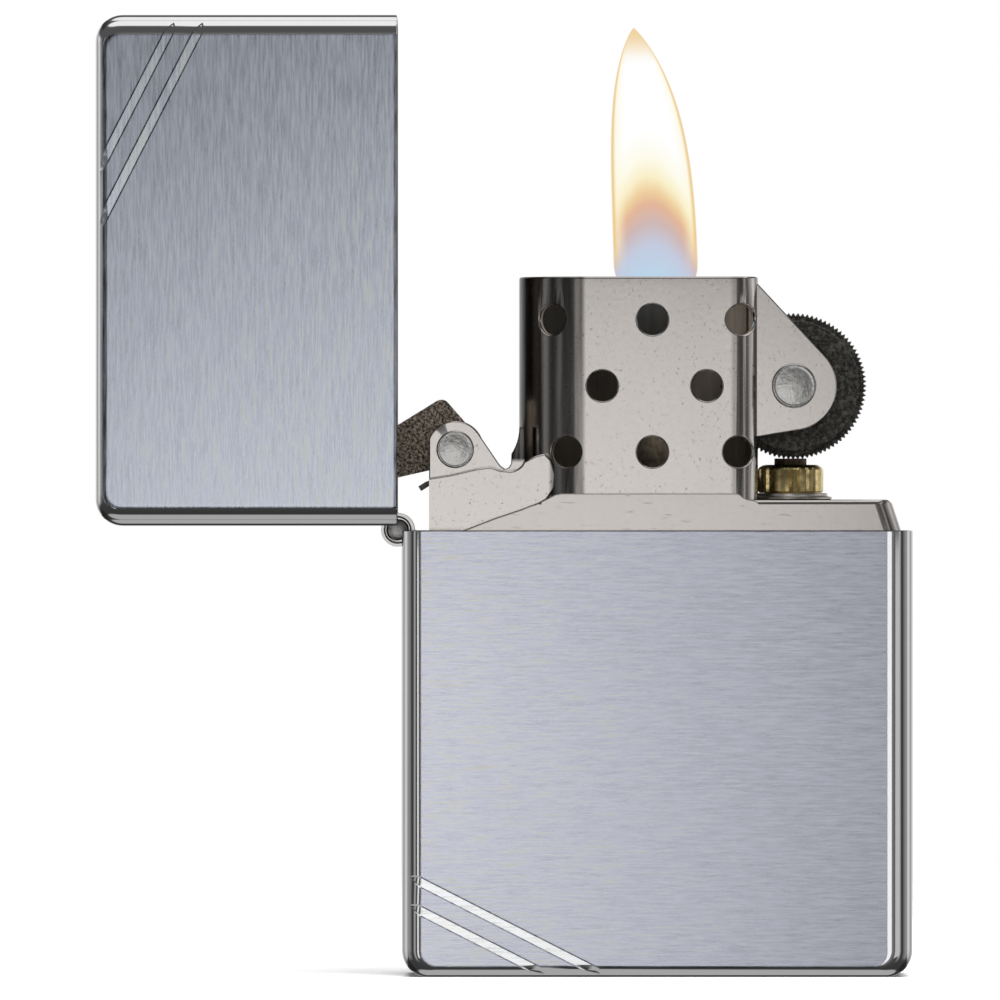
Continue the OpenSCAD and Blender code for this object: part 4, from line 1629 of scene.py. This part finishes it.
@dataclass
class FlintStack:
    """The brass tube and what is stacked in it."""

    x: float = TUBE_X
    tube_r: float = 1.9 * MM
    bore_r: float = 1.27 * MM
    foot: float = 2.65 * MM
    deck: float = DECK
    seat: float = 36.0 * MM
    collar_r: float = 2.45 * MM
    collar_top: float = 38.1 * MM
    flute_depth: float = 0.17 * MM
    flute_pitch: float = 15.0
    flute_width: float = 3.7
    coil_wire: float = 0.17 * MM
    coil_turns: int = 23
    travel: float = 2.0 * MM

    def build(self) -> None:
        """Models and dresses the tube, flange, flint, pusher, spring and screw."""
        brass = TurnedMetal("tube_brass", (0.97, 0.79, 0.38), (0.26, 0.17, 0.07), 0.24).make()
        finish_piece(self.tube(), BODY_INSERT, "tube_brass", brass, "flint_tube")
        bright = SheetSteel("flange_steel", (0.74, 0.69, 0.64), 0.3, 0.03 * MM).make()
        finish_piece(self.flange(), BODY_INSERT, "flange_steel", bright, "tube_flange")
        alloy = DarkSteel("flint_alloy", (0.17, 0.12, 0.085), 0.6, 0.8).make()
        finish_piece(refined("flint", "flint_pressed", 0.05 * MM, 2), BODY_FLINT, "flint_alloy",
                     alloy, "flint")
        pusher = TurnedMetal("pusher_brass", (0.72, 0.52, 0.2), (0.35, 0.23, 0.1)).make()
        finish_piece(refined("flint_pusher", "pusher_turned", 0.1 * MM, 3), BODY_FLINT,
                     "pusher_brass", pusher, "flint_pusher")
        self.add_spring()
        self.add_screw()

    def flange(self) -> bpy.types.Object:
        """The stepped washer between the deck and the collar."""
        deck, top = self.deck, self.seat
        flange = turned("flange_stepped", [
            (3.0 * MM, deck), (3.09 * MM, deck + 0.05 * MM), (3.09 * MM, deck + 0.16 * MM),
            (3.02 * MM, deck + 0.22 * MM), (2.8 * MM, deck + 0.25 * MM), (2.76 * MM, deck + 0.3 * MM),
            (2.76 * MM, top - 0.06 * MM), (2.7 * MM, top - 0.01 * MM)], 72)
        bore(flange, (0.0, 0.0, 0.0), self.tube_r + 0.03 * MM, 0.2)
        flange.data.transform(Matrix.Translation((self.x, 0.0, 0.0)))
        smooth(flange)
        return flange

    def tube(self) -> bpy.types.Object:
        """The tube with its fluted collar, bored right through."""
        collar_r, flute_r = self.collar_r, self.collar_r - self.flute_depth
        low, top = self.seat, self.collar_top
        tube = turned("tube_turned", [
            (self.tube_r - 0.12 * MM, self.foot), (self.tube_r, self.foot + 0.12 * MM),
            (self.tube_r, low), (collar_r - 0.14 * MM, low), (collar_r, low + 0.14 * MM),
            (collar_r, top - 0.42 * MM), (collar_r - 0.1 * MM, top - 0.22 * MM),
            (collar_r - 0.38 * MM, top - 0.03 * MM), (collar_r - 0.5 * MM, top)], 96)
        for vert in tube.data.vertices:
            if low + 0.1 * MM < vert.co.z < top - 0.3 * MM and vert.co.xy.length > collar_r - TINY:
                turn = math.degrees(math.atan2(vert.co.y, vert.co.x)) % self.flute_pitch
                if turn < self.flute_width:
                    vert.co = ring_point(vert.co, flute_r, vert.co.z)
        bore(tube, (0.0, 0.0, 0.0), self.bore_r, 80 * MM)
        tube.data.transform(Matrix.Translation((self.x, 0.0, 0.0)))
        smooth(tube)
        return tube

    def add_spring(self) -> None:
        """The coil spring."""
        low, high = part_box("flint_spring")
        wire, turns = self.coil_wire, self.coil_turns
        radius = (high.x - low.x) / 2 - wire
        clear()
        bpy.ops.mesh.primitive_circle_add(
            vertices=10, radius=wire, fill_type="NGON", location=(radius, 0.0, low.z + wire),
            rotation=(math.pi / 2, 0.0, 0.0))
        coil = settle(bpy.context.object)
        coil.name = "flint_coil"
        rise = high.z - low.z - 2 * wire
        modify(coil, "SCREW", axis="Z", screw_offset=rise / turns, iterations=turns,
               steps=20, render_steps=20, use_merge_vertices=True)
        close_ends(coil, 0.0005 * MM, 12)
        coil.data.transform(Matrix.Translation((self.x, 0.0, 0.0)))
        take(coil)
        bpy.ops.object.shade_smooth()
        steel = TurnedMetal("coil_steel", (0.52, 0.50, 0.48), (0.3, 0.28, 0.26), 0.28).make()
        finish_piece(coil, BODY_INSERT, "coil_steel", steel, "flint_spring")
        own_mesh(coil)

    def add_screw(self) -> None:
        """The slotted screw at the foot of the tube."""
        screw = refined("flint_screw", "screw_turned", 0.09 * MM, 2)
        brass = TurnedMetal("screw_brass", (0.74, 0.55, 0.24), (0.42, 0.29, 0.13)).make()
        finish_piece(screw, BODY_SCREW, "screw_brass", brass, "flint_screw")


# ---------------------------------------------------------------- soft pieces


@dataclass
class Packing:
    """The wick with its wire, the cotton and the felt pad."""

    wick_r: float = 1.5 * MM
    top: float = 47.0 * MM
    ball_r: float = 4.6 * MM
    strands: int = 8
    turns: float = 44.0
    twist: float = 2.6
    hairs: int = 90

    def build(self) -> None:
        """Models and dresses the soft pieces."""
        cotton = Fibre("wick_cotton", (0.42, 0.35, 0.26), (0.20, 0.16, 0.11), 5200.0,
                       44.6 * MM, 46.4 * MM).make()
        finish_piece(self.wick(), BODY_INSERT, "wick_cotton", cotton, "wick")
        wire = bpy.data.objects["wick_wire"]
        wire.data.materials.clear()
        wire.data.materials.append(
            TurnedMetal("wire_copper", (0.62, 0.33, 0.2), (0.2, 0.1, 0.07)).make())
        balls = join("cotton_balls", [self.ball(x, z, seed) for seed, (x, z) in enumerate((
            (3.1, 8.9), (3.1, 18.15), (3.1, 27.4), (-11.5, 8.9), (-11.5, 18.15)))])
        loose = Fibre("packing_cotton", (0.90, 0.88, 0.83), (0.70, 0.67, 0.60), 2600.0).make()
        finish_piece(balls, BODY_INSERT, "packing_cotton", loose, "cotton_packing")
        felt = Fibre("pad_felt", (0.84, 0.82, 0.77), (0.62, 0.60, 0.55), 4200.0).make()
        pad = self.pad()
        finish_piece(pad, BODY_INSERT, "pad_felt", felt, "felt_pad")

    def route(self, share: float) -> Vector:
        """Finds a point on the wick's middle line.

        Args:
            share: How far along it, from 0 at the top to 1 at the tail.

        Returns:
            The point.
        """
        corners = [Vector((0, 0, self.top)), Vector((0, 0, 33.6 * MM)), Vector((-0.55 * MM, 0, 32.5 * MM)),
                   Vector((-3.65 * MM, 0, 29.3 * MM)), Vector((-4.2 * MM, 0, 28.2 * MM)),
                   Vector((-4.2 * MM, 0, 6.2 * MM))]
        lengths = [(b - a).length for a, b in zip(corners, corners[1:])]
        left = share * sum(lengths)
        for start, end, length in zip(corners, corners[1:], lengths):
            if left <= length:
                return start.lerp(end, left / length)
            left -= length
        return corners[-1]

    def wick(self) -> bpy.types.Object:
        """The braided wick, rolled up from a grid along its route, with a frayed top."""
        around, along = 40, 300
        clear()
        bpy.ops.mesh.primitive_grid_add(x_subdivisions=around, y_subdivisions=along, size=1.0)
        wick = bpy.context.object
        wick.name = "wick_braided"
        for vert in wick.data.vertices:
            column = round((vert.co.x + 0.5) * around) % around
            share = vert.co.y + 0.5
            angle = 2 * math.pi * column / around
            length = share * self.turns
            left = math.sin(self.strands / 2 * angle + length * self.twist)
            right = math.sin(self.strands / 2 * angle - length * self.twist)
            radius = self.wick_r - 0.2 * MM + 0.19 * MM * max(abs(left), abs(right))
            if share < 0.02:
                radius *= 0.72 + 14.0 * share
            ahead = self.route(min(share + 0.01, 1.0)) - self.route(max(share - 0.01, 0.0))
            side = Vector((0, 1, 0)).cross(ahead.normalized())
            outward = math.cos(angle) * side + math.sin(angle) * Vector((0, 1, 0))
            vert.co = self.route(share) + radius * outward
        close_ends(wick, 0.001 * MM, around + 4)
        wick = join("wick_braided", [wick, self.fray()])
        take(wick)
        bpy.ops.object.shade_smooth()
        return wick

    def fray(self) -> bpy.types.Object:
        """Short loose ends on the top of the wick."""
        draw = random.Random(7)
        ends = []
        for _ in range(self.hairs):
            clear()
            height = draw.uniform(0.35, 0.75) * MM
            spread, angle = self.wick_r * math.sqrt(draw.uniform(0.04, 0.8)), draw.uniform(0, 2 * math.pi)
            bpy.ops.mesh.primitive_cone_add(
                vertices=5, radius1=0.09 * MM, radius2=0.03 * MM, depth=height,
                location=(spread * math.cos(angle), spread * math.sin(angle), self.top - 0.16 * MM),
                rotation=(draw.uniform(-0.5, 0.5), draw.uniform(-0.5, 0.5), 0.0))
            ends.append(settle(bpy.context.object))
        return join("wick_fray", ends)

    def ball(self, x: float, z: float, seed: int) -> bpy.types.Object:
        """One loose ball of cotton.

        Args:
            x: Its place across, in millimetres.
            z: Its height, in millimetres.
            seed: A number that makes its lumps its own.

        Returns:
            The ball.
        """
        clear()
        bpy.ops.mesh.primitive_ico_sphere_add(subdivisions=5, radius=1.0)
        ball = bpy.context.object
        for vert in ball.data.vertices:
            way = vert.co.normalized()
            lumps = noise.fractal(way * 2.2 + Vector((seed * 3.7, 0, 0)), 0.9, 2.1, 5)
            tufts = noise.noise(way * 11.0 + Vector((0, seed * 5.1, 0)))
            vert.co = way * (self.ball_r - 0.42 * MM + 0.3 * MM * lumps + 0.1 * MM * tufts)
        ball.data.transform(Matrix.Translation((x * MM, 0.0, z * MM)))
        take(ball)
        bpy.ops.object.shade_smooth()
        return ball

    def pad(self) -> bpy.types.Object:
        """The felt pad, with soft edges and a matted surface."""
        pad = refined("felt_pad", "pad_felted", 0.35 * MM, 3)
        modify(pad, "REMESH", mode="VOXEL", voxel_size=0.28 * MM)
        for vert in pad.data.vertices:
            vert.co -= vert.normal * (0.05 * MM * (1 + noise.noise(vert.co * 900.0)))
        take(pad)
        bpy.ops.object.shade_smooth()
        return pad


@dataclass
class Flame:
    """The flame on the wick."""

    shape: FlameShape = FlameShape()
    rings: int = 90
    sides: int = 64
    slim: float = 0.72

    def build(self) -> None:
        """Models and dresses the flame."""
        clear()
        bpy.ops.mesh.primitive_uv_sphere_add(segments=self.sides, ring_count=self.rings, radius=1.0)
        flame = bpy.context.object
        flame.name = "flame"
        for vert in flame.data.vertices:
            vert.co = self.place(vert.co)
        flame.data.update()
        take(flame)
        bpy.ops.object.shade_smooth()
        flame.data.materials.clear()
        flame.data.materials.append(Glow("flame_glow", self.shape).make())
        flame.data.name = flame.name
        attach(flame, BODY_INSERT)
        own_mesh(flame)

    def place(self, co: Vector) -> Vector:
        """Shapes a ball into the flame.

        Args:
            co: A point of a ball of radius 1.

        Returns:
            Where the point comes to.
        """
        shape = self.shape
        t = 1 - math.acos(max(-1.0, min(1.0, co.z))) / math.pi
        flat = Vector((co.x, co.y))
        way = flat.normalized() if flat.length > 1e-6 else Vector((0.0, 0.0))
        half = shape.broad * max(1 - t ** shape.fall, 0.0) ** shape.blunt
        low = min(t / 0.27, 1.0)
        half *= 0.42 + 0.58 * low * low * (3 - 2 * low)
        return Vector((shape.lean * t ** shape.sway + way.x * half, way.y * half * self.slim,
                       shape.foot + (shape.tip - shape.foot) * t))


# ---------------------------------------------------------------- studio


@dataclass
class Studio:
    """Camera, floor, lamps and the surroundings that the bright metal reflects."""

    aim: Vector = field(default_factory=lambda: Vector((-11.69 * MM, 0.0, 35.47 * MM)))
    frame_width: float = 74.68 * MM
    lens: float = 600.0
    sensor: float = 36.0
    # Grey of the room at angles, in degrees, away from straight behind the camera.
    room: tuple[Point, ...] = (
        (0, 0.24), (10, 0.22), (17, 0.13), (37, 0.07), (42, 0.42), (46, 0.50), (52, 0.07),
        (62, 0.06), (70, 0.22), (84, 0.36), (96, 0.78), (108, 0.85), (122, 0.40), (130, 0.45),
        (146, 0.85), (180, 0.6))
    # White awnings above and below, past this share of straight up or down.
    awning: float = 0.78
    awning_grey: float = 0.84

    def build(self) -> None:
        """Sets up everything round the object."""
        self.add_camera()
        self.add_floor()
        self.add_lamp("front_box", (-28 * MM, -300 * MM, 9 * MM), 112 * MM, 101 * MM, 1.0)
        self.add_lamp("left_strip", (-75 * MM, -120 * MM, 4 * MM), 16 * MM, 58 * MM, 0.9)
        self.add_lamp("right_strip", (85 * MM, -120 * MM, 4 * MM), 50 * MM, 58 * MM, 0.5)
        overhead = self.add_lamp("overhead", (0.05, -0.25, 0.5), 0.6, 0.6, 7.0)
        overhead.visible_glossy = False
        self.add_surroundings()
        bpy.context.scene.view_settings.view_transform = "Standard"

    def add_camera(self) -> None:
        """A long lens, square on to the front face."""
        data = bpy.data.cameras.new("studio_camera")
        data.lens = self.lens
        data.sensor_width = self.sensor
        data.clip_end = 50.0
        camera = bpy.data.objects.new("studio_camera", data)
        bpy.context.scene.collection.objects.link(camera)
        distance = self.frame_width * self.lens / self.sensor
        camera.location = self.aim + Vector((0.0, -distance, 0.0))
        camera.rotation_euler = (math.radians(90.0), 0.0, 0.0)
        bpy.context.scene.camera = camera

    def add_floor(self) -> None:
        """A pale floor that fades out before its edge."""
        clear()
        bpy.ops.mesh.primitive_circle_add(vertices=128, radius=0.9, fill_type="NGON")
        floor = bpy.context.object
        floor.name = "studio_floor"
        floor.visible_glossy = False
        paint = Paint("floor_white")
        x, y, _ = paint.axes()
        away = paint.math("SQRT", x * x + y * y)
        grain = paint.grain((900.0, 900.0, 900.0), 2.0, 0.5)
        paint.set(Base_Color=paint.tint((0.94, 0.94, 0.94), grain * 0.02 + 0.98), Roughness=0.7,
                  Alpha=away.step(0.10, 0.45, 1.0, 0.0))
        paint.shader.inputs["Specular IOR Level"].default_value = 0.0
        floor.data.materials.append(paint.material)

    def add_lamp(self, name: str, at: Sequence[float], width: float, height: float,
                 radiance: float) -> bpy.types.Object:
        """A soft box aimed level at the object.

        Args:
            name: The lamp's name.
            at: Its place.
            width: Its size across.
            height: Its size upright.
            radiance: How bright its face is, where 1 shows as white.

        Returns:
            The lamp.
        """
        data = bpy.data.lights.new(name, "AREA")
        data.shape = "RECTANGLE"
        data.size, data.size_y = width, height
        data.energy = radiance * math.pi * width * height
        lamp = bpy.data.objects.new(name, data)
        bpy.context.scene.collection.objects.link(lamp)
        lamp.location = at
        lamp.rotation_euler = (self.aim - Vector(at)).to_track_quat("-Z", "Y").to_euler()
        lamp.visible_camera = False
        return lamp

    def add_surroundings(self) -> None:
        """Plain white to look at, and a soft room with dark flags for the metal to reflect."""
        world = bpy.data.worlds.new("studio")
        bpy.context.scene.world = world
        world.use_nodes = True
        graph = Graph(world.node_tree)
        graph.tree.nodes.clear()
        way = graph.node("ShaderNodeTexCoord", output="Generated")
        _, y, z = graph.split(way)
        away = graph.math("ARCCOSINE", y * -1.0) / math.pi
        ring = graph.ramp(away, [(angle / 180.0, grey) for angle, grey in self.room])
        steep = z.size()
        dim = steep.step(0.25, 0.45)
        ring = (ring * (1.0 - dim) + dim * 0.08).most(
            steep.step(self.awning, self.awning + 0.08) * self.awning_grey)
        height = z.step(-0.9, 0.9, 0.55, 1.25)
        room = graph.node("ShaderNodeBackground", None, {"Color": ring, "Strength": height})
        seen = graph.node("ShaderNodeBackground", None, {"Color": (1.0, 1.0, 1.0)})
        direct = graph.node("ShaderNodeLightPath", output="Is Camera Ray")
        shown = graph.node("ShaderNodeMixShader", None, {0: direct, 1: room, 2: seen})
        out = graph.tree.nodes.new("ShaderNodeOutputWorld")
        graph.plug(out.inputs["Surface"], shown)


def main() -> None:
    """Builds the studio and every piece, in order."""
    logging.basicConfig(level=logging.INFO, format="%(name)s %(message)s")
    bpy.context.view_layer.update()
    Studio().build()
    for part in (Case(), Windscreen(), Tank(), Insert(), Cam(), Striker(), FlintStack(),
                 Packing(), Flame()):
        part.build()
        log.info("%s is done", type(part).__name__)


if __name__ == "__main__":
    main()
